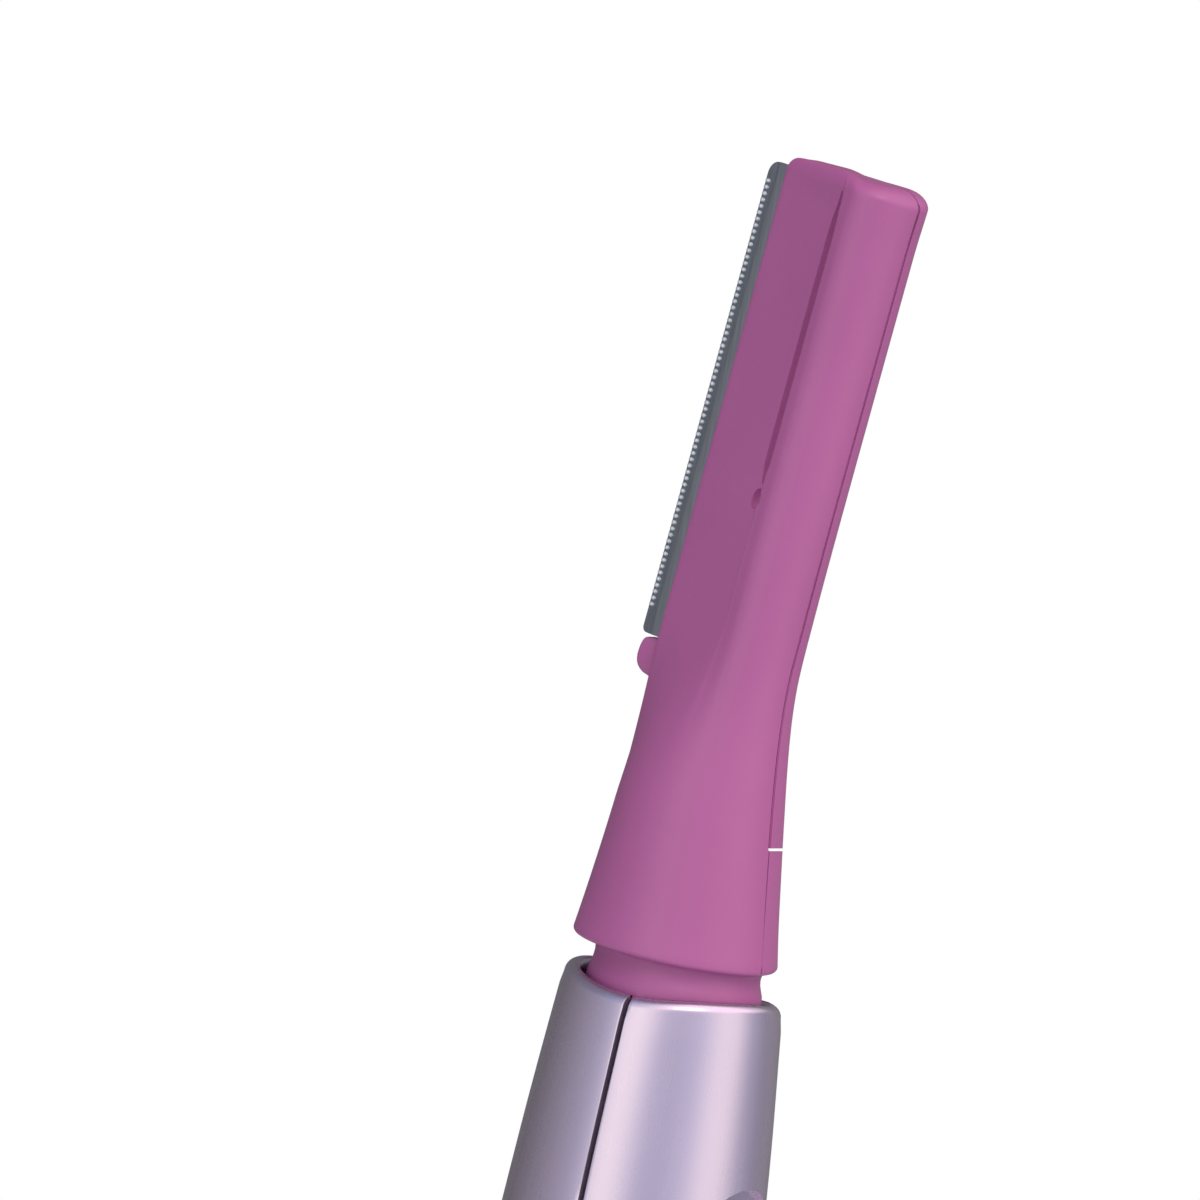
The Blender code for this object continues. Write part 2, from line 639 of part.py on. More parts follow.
def make_chassis(shop, material):
    """Battery cradle, motor tube, rings that hold the shells and ears for the head's pins."""
    wall_z = partition_z()
    motor_base = wall_z + PARTITION_THICKNESS
    top_z = MOTOR_TOP_Z + SEAM_GAP
    deck_z = top_z + CHASSIS_TOP_THICKNESS
    lower_ring = handle_radius(LOWER_RING_Z) - HANDLE_WALL - SEAM_GAP
    upper_ring = handle_radius(deck_z) - HANDLE_WALL - SEAM_GAP
    outside = [(0, deck_z), (upper_ring, deck_z), (upper_ring, deck_z - RING_THICKNESS)]
    outside += [(MOTOR_TUBE_RADIUS, deck_z - RING_THICKNESS)]
    outside += [(MOTOR_TUBE_RADIUS, LOWER_RING_Z + RING_THICKNESS)]
    outside += [(lower_ring, LOWER_RING_Z + RING_THICKNESS), (lower_ring, LOWER_RING_Z)]
    outside += [(CRADLE_RADIUS, LOWER_RING_Z), (CRADLE_RADIUS, CRADLE_BASE_Z), (0, CRADLE_BASE_Z)]
    solid = turned_mesh(outside)

    cell_room = turned_mesh(
        [
            (0, wall_z),
            (CRADLE_BORE, wall_z),
            (CRADLE_BORE, CRADLE_BASE_Z + CRADLE_FLOOR),
            (0, CRADLE_BASE_Z + CRADLE_FLOOR),
        ]
    )
    motor_room = turned_mesh(
        [
            (0, deck_z + CUT_OVERRUN),
            (CHASSIS_TOP_BORE, deck_z + CUT_OVERRUN),
            (CHASSIS_TOP_BORE, top_z),
            (MOTOR_TUBE_BORE, top_z),
            (MOTOR_TUBE_BORE, motor_base),
            (0, motor_base),
        ]
    )
    reach = HANDLE_MAX_RADIUS
    cell_door = box_mesh(
        (CRADLE_OPEN_X, -reach, CRADLE_BASE_Z + CRADLE_FLOOR), (reach, reach, wall_z)
    )
    strip_slot = box_mesh(
        (-STRIP_SLOT_HALF_WIDTH, 0, CRADLE_BASE_Z + CRADLE_FLOOR),
        (STRIP_SLOT_HALF_WIDTH, reach, wall_z),
    )
    window = box_mesh(
        (0, -CONTACT_WINDOW_HALF_WIDTH, contact_base_z() - SEAM_GAP),
        (reach, CONTACT_WINDOW_HALF_WIDTH, contact_top_z() + SEAM_GAP),
    )
    steps = [("DIFFERENCE", tool) for tool in (cell_room, motor_room, cell_door, strip_slot, window)]
    pivot_z = RIM_Z - PIVOT_BELOW_RIM
    for side in (-1, 1):
        near = side * EAR_INNER_Y
        far = side * (EAR_INNER_Y + EAR_THICKNESS)
        ear = box_mesh(
            (-EAR_HALF_WIDTH, min(near, far), deck_z - CHASSIS_TOP_THICKNESS / 2),
            (EAR_HALF_WIDTH, max(near, far), RIM_Z - EAR_HEAD_ROOM),
        )
        steps.append(("UNION", ear))
    reach_y = EAR_INNER_Y + EAR_THICKNESS + CUT_OVERRUN
    bore = cylinder_mesh(
        (0, -reach_y, pivot_z), (0, reach_y, pivot_z), PIVOT_PIN_RADIUS + RUNNING_CLEARANCE
    )
    steps.append(("DIFFERENCE", bore))
    leaf_slot = box_mesh(
        (-LEAF_THICKNESS / 2 - SEAM_GAP / 2, LEAF_OFFSET_Y - LEAF_HALF_WIDTH - SEAM_GAP, top_z - SEAM_GAP),
        (
            LEAF_THICKNESS / 2 + SEAM_GAP / 2,
            LEAF_OFFSET_Y + LEAF_HALF_WIDTH + SEAM_GAP,
            deck_z + CUT_OVERRUN,
        ),
    )
    steps.append(("DIFFERENCE", leaf_slot))
    shop.piece("inner_chassis", shop.solid(solid, *steps), material)


def make_pivot_pins(shop, metal):
    """Two steel pins that carry the head in the chassis ears."""
    pivot_z = RIM_Z - PIVOT_BELOW_RIM
    inner = BARREL_BORE
    outer = EAR_INNER_Y + EAR_THICKNESS
    for name, side in (("head_pivot_pin_near", -1), ("head_pivot_pin_far", 1)):
        mesh = cylinder_mesh((0, side * inner, pivot_z), (0, side * outer, pivot_z), PIVOT_PIN_RADIUS)
        shop.piece(name, mesh, metal, (0, 0, pivot_z))


def make_motor(shop, steel, plastic, brass):
    """Motor can with its bush, its end cap and two terminals."""
    base = MOTOR_TOP_Z - MOTOR_LENGTH
    can_base = base + MOTOR_CAP_THICKNESS + SEAM_GAP / 2
    bush_top = MOTOR_TOP_Z + MOTOR_BUSH_HEIGHT
    hole = SHAFT_RADIUS + RUNNING_CLEARANCE
    profile = [(0, bush_top - SHAFT_DEPTH - SEAM_GAP), (hole, bush_top - SHAFT_DEPTH - SEAM_GAP)]
    profile += [(hole, bush_top), (MOTOR_BUSH_RADIUS, bush_top), (MOTOR_BUSH_RADIUS, MOTOR_TOP_Z)]
    profile += arc(MOTOR_RADIUS - RIM_ROUND, MOTOR_TOP_Z - RIM_ROUND, RIM_ROUND, 90, 0)
    profile += [(MOTOR_RADIUS, can_base), (0, can_base)]
    shop.piece("motor_can", turned_mesh(profile, SMALL_ROUND_STEPS * 2), steel)
    cap = [(0, can_base - SEAM_GAP / 2), (MOTOR_RADIUS, can_base - SEAM_GAP / 2)]
    cap += [(MOTOR_RADIUS, base), (0, base)]
    shop.piece("motor_end_cap", turned_mesh(cap, SMALL_ROUND_STEPS * 2), plastic)
    for name, side in (("motor_terminal_near", -1), ("motor_terminal_far", 1)):
        y = side * TERMINAL_OFFSET
        mesh = box_mesh(
            (-TERMINAL_WIDTH / 2, y - TERMINAL_THICKNESS / 2, base - SEAM_GAP / 2 - TERMINAL_LENGTH),
            (TERMINAL_WIDTH / 2, y + TERMINAL_THICKNESS / 2, base - SEAM_GAP / 2),
        )
        shop.piece(name, mesh, brass)


def make_rotor(shop, steel, plastic):
    """Motor shaft and the eccentric with its drive pin, at rest in mid stroke."""
    shaft_base = MOTOR_TOP_Z + MOTOR_BUSH_HEIGHT - SHAFT_DEPTH
    cam_top = CAM_BASE_Z + CAM_THICKNESS
    shaft_top = CAM_BASE_Z + CAM_THICKNESS / 2
    origin = (0, 0, CAM_BASE_Z)
    shaft = cylinder_mesh((0, 0, shaft_base), (0, 0, shaft_top), SHAFT_RADIUS)
    shop.piece("motor_shaft", shaft, steel, origin)
    disc = cylinder_mesh((0, 0, CAM_BASE_Z), (0, 0, cam_top), CAM_RADIUS, SMALL_ROUND_STEPS)
    pin = cylinder_mesh(
        (0, -CAM_THROW, cam_top - CAM_THICKNESS / 2),
        (0, -CAM_THROW, RIM_Z - CAM_PIN_TOP_BELOW_RIM),
        CAM_PIN_RADIUS,
    )
    socket = cylinder_mesh(
        (0, 0, CAM_BASE_Z - CUT_OVERRUN),
        (0, 0, shaft_top + SEAM_GAP),
        SHAFT_RADIUS + SEAM_GAP / 2,
    )
    cam = shop.solid(disc, ("UNION", pin), ("DIFFERENCE", socket))
    shop.piece("eccentric_cam", cam, plastic, origin)


def make_battery(shop, material):
    """The AAA cell with its raised tip."""
    shoulder = cell_top_z() - CELL_TIP_HEIGHT
    profile = [(0, cell_top_z()), (CELL_TIP_RADIUS, cell_top_z()), (CELL_TIP_RADIUS, shoulder)]
    profile += arc(CELL_RADIUS - CELL_EDGE_ROUND, shoulder - CELL_EDGE_ROUND, CELL_EDGE_ROUND, 90, 0, 3)
    profile += arc(CELL_RADIUS - CELL_EDGE_ROUND, CELL_BASE_Z + CELL_EDGE_ROUND, CELL_EDGE_ROUND, 0, -90, 3)
    profile += [(0, CELL_BASE_Z)]
    shop.piece("battery_cell", turned_mesh(profile, SMALL_ROUND_STEPS * 2), material)


def contact_base_z():
    """Lower end of the switch's contact strip."""
    return partition_z() + PARTITION_THICKNESS + SEAM_GAP


def contact_top_z():
    """Upper end of the switch's contact strip."""
    return RECESS_TOP_Z - SEAM_GAP


def make_board(shop, material):
    """Small circuit board under the motor."""
    top = MOTOR_TOP_Z - MOTOR_LENGTH - TERMINAL_LENGTH - SEAM_GAP
    board = box_mesh(
        (-BOARD_HALF_WIDTH, -BOARD_THICKNESS / 2, partition_z() + PARTITION_THICKNESS + SEAM_GAP),
        (BOARD_HALF_WIDTH, BOARD_THICKNESS / 2, top - SEAM_GAP),
    )
    shop.piece("circuit_board", board, material)


def make_contacts(shop, brass, steel):
    """Battery and switch contacts: disc, coil, side strip and the strip behind the switch."""
    disc_z = cell_top_z() + SEAM_GAP
    disc = cylinder_mesh(
        (0, 0, disc_z), (0, 0, disc_z + POSITIVE_DISC_THICKNESS), POSITIVE_DISC_RADIUS, SMALL_ROUND_STEPS
    )
    shop.piece("positive_contact", disc, brass)

    half = CONTACT_WINDOW_HALF_WIDTH - SEAM_GAP
    inner = MOTOR_RADIUS + CONTACT_GAP
    strip = box_mesh(
        (inner, -half, contact_base_z()), (inner + CONTACT_THICKNESS, half, contact_top_z())
    )
    shop.piece("switch_contact", strip, brass)

    inner = CELL_RADIUS + SEAM_GAP
    side_strip = box_mesh(
        (-STRIP_HALF_WIDTH, inner, CRADLE_BASE_Z + CRADLE_FLOOR + SEAM_GAP),
        (STRIP_HALF_WIDTH, inner + CONTACT_THICKNESS, partition_z() - SEAM_GAP),
    )
    shop.piece("negative_strip", side_strip, brass)
    shop.piece("negative_spring", coil_mesh(), steel)


def coil_mesh():
    """The battery's coil spring, between the cradle's floor and the cell."""
    low = CRADLE_BASE_Z + CRADLE_FLOOR + SEAM_GAP / 2 + SPRING_WIRE_RADIUS
    high = CELL_BASE_Z - SEAM_GAP / 2 - SPRING_WIRE_RADIUS
    count = int(SPRING_TURNS * SPRING_POINTS_PER_TURN) + 1
    curve = bpy.data.curves.new("coil", "CURVE")
    curve.dimensions = "3D"
    curve.bevel_depth = SPRING_WIRE_RADIUS
    curve.bevel_resolution = 1
    curve.use_fill_caps = True
    spline = curve.splines.new("POLY")
    spline.points.add(count - 1)
    for i, point in enumerate(spline.points):
        turn = 2 * math.pi * i / SPRING_POINTS_PER_TURN
        height = low + (high - low) * i / (count - 1)
        point.co = (SPRING_RADIUS * math.cos(turn), SPRING_RADIUS * math.sin(turn), height, 1)
    item = bpy.data.objects.new("coil", curve)
    bpy.context.scene.collection.objects.link(item)
    bpy.context.view_layer.update()
    return baked_mesh(item)


def cone_radius(height):
    """Radius of the head's round base at a height above the rim."""
    share = min(max((height - FLANGE_HEIGHT) / (CONE_END_HEIGHT - FLANGE_HEIGHT), 0), 1)
    return CONE_END_RADIUS + (FLANGE_RADIUS - CONE_END_RADIUS) * (1 - share) ** CONE_CURVE_POWER


def head_front_x(height):
    """Front edge of the shell, behind the blade."""
    return HEAD_FRONT_X + HEAD_LEAN_SLOPE * height


def head_back_x(height):
    """Back edge of the shell: the cone's side eased into the leaning back."""
    cone = HEAD_OFFSET_X + cone_radius(height)
    lean = HEAD_BACK_X + HEAD_LEAN_SLOPE * height
    return (cone + lean + math.hypot(cone - lean, BACK_BLEND)) / 2


def groove_depth(height):
    """Depth of the groove beside the flat face."""
    rise = smooth_share(height, GROOVE_START_HEIGHT, GROOVE_START_HEIGHT + GROOVE_FADE)
    fall = 1 - smooth_share(height, GROOVE_END_HEIGHT - GROOVE_FADE, GROOVE_END_HEIGHT)
    return GROOVE_DEPTH * rise * fall


def head_half_section(height, inset, grooved):
    """Half outline of the head, front to back: a round base easing into a knife section."""
    front = head_front_x(height) + (CAVITY_FRONT_SETBACK if inset else 0)
    back = head_back_x(height)
    crown_x = back - BACK_ROUND_LENGTH
    flat_x = back - FLAT_END_BEHIND_BACK
    outer_front = head_front_x(height)
    slope = (FLAT_END_HALF_THICKNESS - FRONT_HALF_THICKNESS) / (flat_x - outer_front)

    def flat_y(x):
        return FRONT_HALF_THICKNESS + slope * (x - outer_front) - inset

    def crown_y(x):
        share = min(max((x - crown_x) / BACK_ROUND_LENGTH, -1), 1)
        return (BACK_HALF_THICKNESS - inset) * math.sqrt(1 - share * share)

    depth = groove_depth(height) if grooved else 0
    chamfer = 0 if inset else FRONT_CHAMFER
    points = [(front, 0), (front, flat_y(front + chamfer) - chamfer)]
    points += [(x, flat_y(x)) for x in spread(front + chamfer, flat_x - GROOVE_HALF_WIDTH, 5)]
    points.append((flat_x, flat_y(flat_x) - depth))
    points.append((flat_x + GROOVE_HALF_WIDTH, flat_y(flat_x + GROOVE_HALF_WIDTH)))
    lip = flat_x + 2 * GROOVE_HALF_WIDTH
    start = math.acos((lip - crown_x) / BACK_ROUND_LENGTH)
    round_length = BACK_ROUND_LENGTH - inset
    for turn in spread(start, 0, 8):
        x = crown_x + round_length * math.cos(turn)
        points.append((x, crown_y(crown_x + BACK_ROUND_LENGTH * math.cos(turn))))
    share = smooth_share(height, BLEND_START_HEIGHT, BLEND_END_HEIGHT)
    radius = cone_radius(height) - inset
    blended = []
    for i, (x, y) in enumerate(points):
        turn = math.pi * (1 - i / (len(points) - 1))
        round_x = HEAD_OFFSET_X + radius * math.cos(turn)
        round_y = radius * math.sin(turn)
        blended.append((round_x + (x - round_x) * share, round_y + (y - round_y) * share))
    blended[-1] = (blended[-1][0], 0)
    return blended


def full_ring(half, height, shrink=0):
    """Mirror a half outline into a ring at a height, drawn in toward its middle by shrink."""
    middle = (half[0][0] + half[-1][0]) / 2
    reach_x = (half[-1][0] - half[0][0]) / 2
    reach_y = max(y for x, y in half)
    ring = half + [(x, -y) for x, y in reversed(half[1:-1])]
    scale_x = (reach_x - shrink) / reach_x
    scale_y = (reach_y - shrink) / reach_y
    return [(middle + (x - middle) * scale_x, y * scale_y, RIM_Z + height) for x, y in ring]


def circle_half(radius, offset, count):
    """Half of a circle with as many points as a head section."""
    turns = [math.pi * (1 - i / (count - 1)) for i in range(count)]
    return [(offset + radius * math.cos(t), radius * math.sin(t)) for t in turns]


def loft_mesh(rings):
    """Skin a stack of rings with as many points each, and close both ends."""
    bm = bmesh.new()
    levels = [[bm.verts.new(point) for point in ring] for ring in rings]
    count = len(levels[0])
    for low, high in zip(levels, levels[1:]):
        for i in range(count):
            j = (i + 1) % count
            bm.faces.new((low[i], low[j], high[j], high[i]))
    bm.faces.new(levels[0][::-1])
    bm.faces.new(levels[-1])
    return finish_mesh("loft", bm)


def head_outer_mesh():
    """The head's outside, from the shoulder of the neck to the rounded top."""
    count = len(head_half_section(FLANGE_HEIGHT, 0, False))
    corner = FLANGE_ROUND * FLANGE_ROUND_SHARE
    rings = []
    for height, radius, offset in (
        (-NECK_SHOULDER_BELOW_RIM, NECK_RADIUS, 0),
        (FLANGE_HEIGHT, NECK_RADIUS, 0),
        (FLANGE_HEIGHT, FLANGE_RADIUS - FLANGE_ROUND, HEAD_OFFSET_X),
        (FLANGE_HEIGHT + corner, FLANGE_RADIUS - corner, HEAD_OFFSET_X),
    ):
        rings.append(full_ring(circle_half(radius, offset, count), height))
    top = HEAD_HEIGHT - HEAD_TOP_ROUND
    heights = spread(FLANGE_HEIGHT + FLANGE_ROUND, GROOVE_START_HEIGHT, 12)
    heights += [GROOVE_START_HEIGHT + GROOVE_FADE / 2, GROOVE_START_HEIGHT + GROOVE_FADE]
    heights += spread(GROOVE_START_HEIGHT + 3 * GROOVE_FADE, GROOVE_END_HEIGHT - GROOVE_FADE, 4)
    heights += [GROOVE_END_HEIGHT - GROOVE_FADE / 2]
    for height in heights:
        rings.append(full_ring(head_half_section(height, 0, True), height))
    for angle in (0, 30, 60, 90):
        t = math.radians(angle)
        half = head_half_section(top, 0, False)
        rise = top + HEAD_TOP_ROUND * math.sin(t)
        rings.append(full_ring(half, rise, HEAD_TOP_ROUND * (1 - math.cos(t))))
    return loft_mesh(rings)


def head_hollow_mesh():
    """The head's hollow, from below the neck up to the top wall."""
    count = len(head_half_section(FLANGE_HEIGHT, HEAD_WALL, False))
    rings = []
    for height in (-BARREL_DEPTH - CUT_OVERRUN, FLANGE_HEIGHT):
        rings.append(full_ring(circle_half(NECK_BORE, 0, count), height))
    for height in spread(FLANGE_HEIGHT + 2 * HEAD_WALL, HEAD_HEIGHT - HEAD_TOP_WALL, 10):
        rings.append(full_ring(head_half_section(height, HEAD_WALL, False), height))
    return loft_mesh(rings)


def blade_point(depth, height):
    """A point of the blade plane: depth behind the tooth tips, height above the rim along Z."""
    x = BLADE_TIP_X + HEAD_LEAN_SLOPE * height + depth
    return x, RIM_Z + height


def inner_top():
    """Height of what fits under the head's top wall."""
    return HEAD_HEIGHT - HEAD_TOP_WALL - SEAM_GAP


def blade_slot_outline():
    """The slot for the blades: open at the front from the nub up, inside the wall below it."""
    tail_low = TAIL_BASE_HEIGHT - STROKE_ROOM
    open_low = NUB_HEIGHT - NUB_RADIUS - SEAM_GAP
    top = HEAD_HEIGHT + CUT_OVERRUN
    shoulder = inner_top() + SEAM_GAP / 2
    inner_front = TAIL_FRONT_DEPTH - STROKE_ROOM
    return [
        blade_point(BLADE_SLOT_DEPTH, tail_low),
        blade_point(BLADE_SLOT_DEPTH, shoulder),
        blade_point(BLADE_SHOULDER_DEPTH + SEAM_GAP, shoulder),
        blade_point(BLADE_SHOULDER_DEPTH + SEAM_GAP, top),
        blade_point(-CUT_OVERRUN, top),
        blade_point(-CUT_OVERRUN, open_low),
        blade_point(inner_front, open_low),
        blade_point(inner_front, tail_low),
    ]


def make_head(shop, material):
    """The near half with the whole base and neck, and the far half that closes it."""
    blade_slot = plate_mesh(
        blade_slot_outline(), -BLADE_SLOT_HALF_WIDTH, BLADE_SLOT_HALF_WIDTH
    )
    pivot_z = RIM_Z + LEVER_PIVOT_HEIGHT
    wall_y = cone_radius(LEVER_PIVOT_HEIGHT) - HEAD_WALL
    boss_y = LEVER_Y - SEAM_GAP - LEVER_BOSS_GAP
    boss = cylinder_mesh(
        (LEVER_PIVOT_X, -wall_y, pivot_z), (LEVER_PIVOT_X, boss_y, pivot_z), LEVER_BOSS_RADIUS
    )
    boss_bore = cylinder_mesh(
        (LEVER_PIVOT_X, boss_y - LEVER_PIN_SEAT - SEAM_GAP, pivot_z),
        (LEVER_PIVOT_X, boss_y + CUT_OVERRUN, pivot_z),
        LEVER_PIN_RADIUS + RUNNING_CLEARANCE,
    )
    barrel_z = RIM_Z - BARREL_DEPTH
    shoulder_z = RIM_Z - NECK_SHOULDER_BELOW_RIM
    barrel = turned_mesh(
        [
            (0, shoulder_z + HEAD_WALL),
            (BARREL_RADIUS, shoulder_z + HEAD_WALL),
            (BARREL_RADIUS, barrel_z),
            (0, barrel_z),
        ]
    )
    barrel_bore = turned_mesh(
        [
            (0, shoulder_z + CUT_OVERRUN),
            (BARREL_BORE, shoulder_z + CUT_OVERRUN),
            (BARREL_BORE, barrel_z - CUT_OVERRUN),
            (0, barrel_z - CUT_OVERRUN),
        ]
    )
    window = box_mesh(
        (-NECK_RADIUS, -BARREL_WINDOW_HALF_WIDTH, barrel_z - CUT_OVERRUN),
        (NECK_RADIUS, BARREL_WINDOW_HALF_WIDTH, shoulder_z + CUT_OVERRUN),
    )
    pivot_height = RIM_Z - PIVOT_BELOW_RIM
    pivot_bore = cylinder_mesh(
        (0, -NECK_RADIUS, pivot_height),
        (0, NECK_RADIUS, pivot_height),
        PIVOT_PIN_RADIUS + RUNNING_CLEARANCE,
    )
    notch = box_mesh(
        (-LEAF_NOTCH_HALF_WIDTH, BARREL_WINDOW_HALF_WIDTH - SEAM_GAP, barrel_z - CUT_OVERRUN),
        (LEAF_NOTCH_HALF_WIDTH, BARREL_RADIUS + CUT_OVERRUN, barrel_z + LEAF_NOTCH_DEPTH),
    )
    shell = shop.solid(head_outer_mesh(), ("DIFFERENCE", head_hollow_mesh()))
    barrel = shop.solid(barrel, ("DIFFERENCE", barrel_bore), ("DIFFERENCE", window))
    shell = shop.solid(
        shell,
        ("UNION", barrel),
        ("DIFFERENCE", pivot_bore),
        ("DIFFERENCE", notch),
        ("DIFFERENCE", blade_slot),
    )
    reach = FLANGE_RADIUS + 2 * CUT_OVERRUN
    split_z = RIM_Z + COVER_SPLIT_HEIGHT
    top_z = RIM_Z + HEAD_HEIGHT + CUT_OVERRUN
    cover_room = box_mesh((-reach, -SEAM_GAP / 2, split_z - SEAM_GAP / 2), (reach, reach, top_z))
    cover_keep = box_mesh((-reach, SEAM_GAP / 2, split_z + SEAM_GAP / 2), (reach, reach, top_z))
    far = shop.solid(shell.copy(), ("INTERSECT", cover_keep))
    near = shop.solid(
        shell,
        ("DIFFERENCE", cover_room),
        ("UNION", boss),
        ("DIFFERENCE", boss_bore),
        solver="MANIFOLD",
    )
    origin = (0, 0, pivot_height)
    shop.piece("head_shell", near, material, origin)
    shop.piece("head_cover", far, material, origin)


def tooth_outline(front_depth, low, high):
    """Front edge of a toothed blade: teeth with narrower round tips, from top to bottom."""
    length = high - low - 2 * TOOTH_MARGIN
    count = int(length / TOOTH_PITCH)
    points = []
    for i in range(count):
        centre = high - TOOTH_MARGIN - (i + 0.5) * TOOTH_PITCH
        root = TOOTH_PITCH * TOOTH_ROOT_SHARE / 2
        tip = TOOTH_PITCH * TOOTH_TIP_SHARE / 2
        base = front_depth + TOOTH_LENGTH
        points.append(blade_point(base, centre + root))
        points.append(blade_point(front_depth + tip, centre + tip))
        points.append(blade_point(front_depth, centre))
        points.append(blade_point(front_depth + tip, centre - tip))
        points.append(blade_point(base, centre - root))
    return points


def rivet_heights():
    """Heights of the two rivets that hold the blades to their carrier."""
    return (BLADE_BASE_HEIGHT + RIVET_INSET, BLADE_TOP_HEIGHT - RIVET_INSET)


def slot_points(depth, height, radius, room, sides=8):
    """A slot along the blade, with round ends."""
    points = []
    for sign, first in ((1, 0), (-1, math.pi)):
        x, z = blade_point(depth, height + sign * room)
        for i in range(sides + 1):
            t = first + math.pi * i / sides
            points.append((x + radius * math.cos(t), z + radius * math.sin(t)))
    return points


def make_blades(shop, steel, bright):
    """The fixed guard blade and the moving blade with its driven tail."""
    low = BLADE_BASE_HEIGHT
    high = BLADE_TOP_HEIGHT
    front = TOOTH_LENGTH
    shoulder = inner_top()
    outline = [blade_point(BLADE_DEPTH, low), blade_point(BLADE_DEPTH, shoulder)]
    outline += [blade_point(BLADE_SHOULDER_DEPTH, shoulder), blade_point(BLADE_SHOULDER_DEPTH, high)]
    outline += [blade_point(front + BLADE_CORNER, high), blade_point(front, high - BLADE_CORNER)]
    outline += tooth_outline(0, low, high)
    outline += [blade_point(front, low + BLADE_CORNER), blade_point(front + BLADE_CORNER, low)]
    holes = []
    for height in rivet_heights():
        x, z = blade_point(RIVET_DEPTH, height)
        holes.append(circle_points(x, z, RIVET_HOLE_RADIUS, RIVET_SIDES))
    half = BLADE_THICKNESS / 2
    fixed = plate_mesh(outline, FIXED_BLADE_Y - half, FIXED_BLADE_Y + half, holes)
    corner_x, corner_z = blade_point(0, low)
    shop.piece("fixed_blade", fixed, steel, (corner_x, 0, corner_z))

    low += STROKE_ROOM
    high -= STROKE_ROOM
    front += MOVING_BLADE_SETBACK
    shoulder -= STROKE_ROOM
    outline = [blade_point(BLADE_DEPTH, shoulder), blade_point(BLADE_SHOULDER_DEPTH, shoulder)]
    outline += [blade_point(BLADE_SHOULDER_DEPTH, high), blade_point(front, high)]
    outline += tooth_outline(MOVING_BLADE_SETBACK, low, high)
    outline += [blade_point(front, low), blade_point(TAIL_FRONT_DEPTH, low)]
    outline += [blade_point(depth, TAIL_BASE_HEIGHT) for depth in (TAIL_FRONT_DEPTH, TAIL_BACK_DEPTH)]
    holes = []
    for height in rivet_heights():
        holes.append(slot_points(RIVET_DEPTH, height, RIVET_HOLE_RADIUS, STROKE_ROOM))
    pin_x = LEVER_PIVOT_X - LEVER_ARM_LENGTH
    pin_z = RIM_Z + LEVER_PIVOT_HEIGHT + LEVER_ARM_RISE
    holes.append(circle_points(pin_x, pin_z, DRIVE_PIN_RADIUS + RUNNING_CLEARANCE))
    moving = plate_mesh(outline, MOVING_BLADE_Y - half, MOVING_BLADE_Y + half, holes)
    shop.piece("moving_blade", moving, bright, (pin_x, 0, pin_z))


def make_carrier(shop, material, steel):
    """The blades' carrier with the nub below the blade, and the two rivets."""
    low = NUB_HEIGHT - NUB_RADIUS
    top = inner_top()
    back = CARRIER_FRONT_DEPTH + CARRIER_DEPTH
    y_low = CARRIER_Y
    y_high = CARRIER_Y + CARRIER_THICKNESS
    nub_x = head_front_x(NUB_HEIGHT) - NUB_PROUD + NUB_RADIUS
    nub_z = RIM_Z + NUB_HEIGHT
    nub_depth = nub_x - blade_point(0, NUB_HEIGHT)[0]
    outline = [
        blade_point(CARRIER_FRONT_DEPTH, low),
        blade_point(back, low),
        blade_point(back, top),
        blade_point(CARRIER_FRONT_DEPTH, top),
        blade_point(CARRIER_FRONT_DEPTH, NUB_HEIGHT + NUB_RADIUS / 2),
        blade_point(nub_depth, NUB_HEIGHT + NUB_RADIUS / 2),
        blade_point(nub_depth, NUB_HEIGHT - NUB_RADIUS / 2),
        blade_point(CARRIER_FRONT_DEPTH, NUB_HEIGHT - NUB_RADIUS / 2),
    ]
    holes = []
    rivets = []
    for name, height in zip(("blade_rivet_lower", "blade_rivet_upper"), rivet_heights()):
        x, z = blade_point(RIVET_DEPTH, height)
        holes.append(circle_points(x, z, RIVET_HOLE_RADIUS, RIVET_SIDES))
        start = FIXED_BLADE_Y - BLADE_THICKNESS / 2
        mesh = cylinder_mesh((x, start, z), (x, y_high, z), RIVET_RADIUS, RIVET_SIDES)
        rivets.append((name, mesh, (x, 0, z)))
    bar = plate_mesh(outline, y_low, y_high, holes)
    nub = cylinder_mesh(
        (nub_x, -NUB_HALF_THICKNESS, nub_z),
        (nub_x, NUB_HALF_THICKNESS, nub_z),
        NUB_RADIUS,
        SMALL_ROUND_STEPS,
    )
    carrier = shop.solid(bar, ("UNION", nub), solver="MANIFOLD")
    shop.piece("blade_carrier", carrier, material, (nub_x, 0, nub_z))
    for name, mesh, origin in rivets:
        shop.piece(name, mesh, steel, origin)


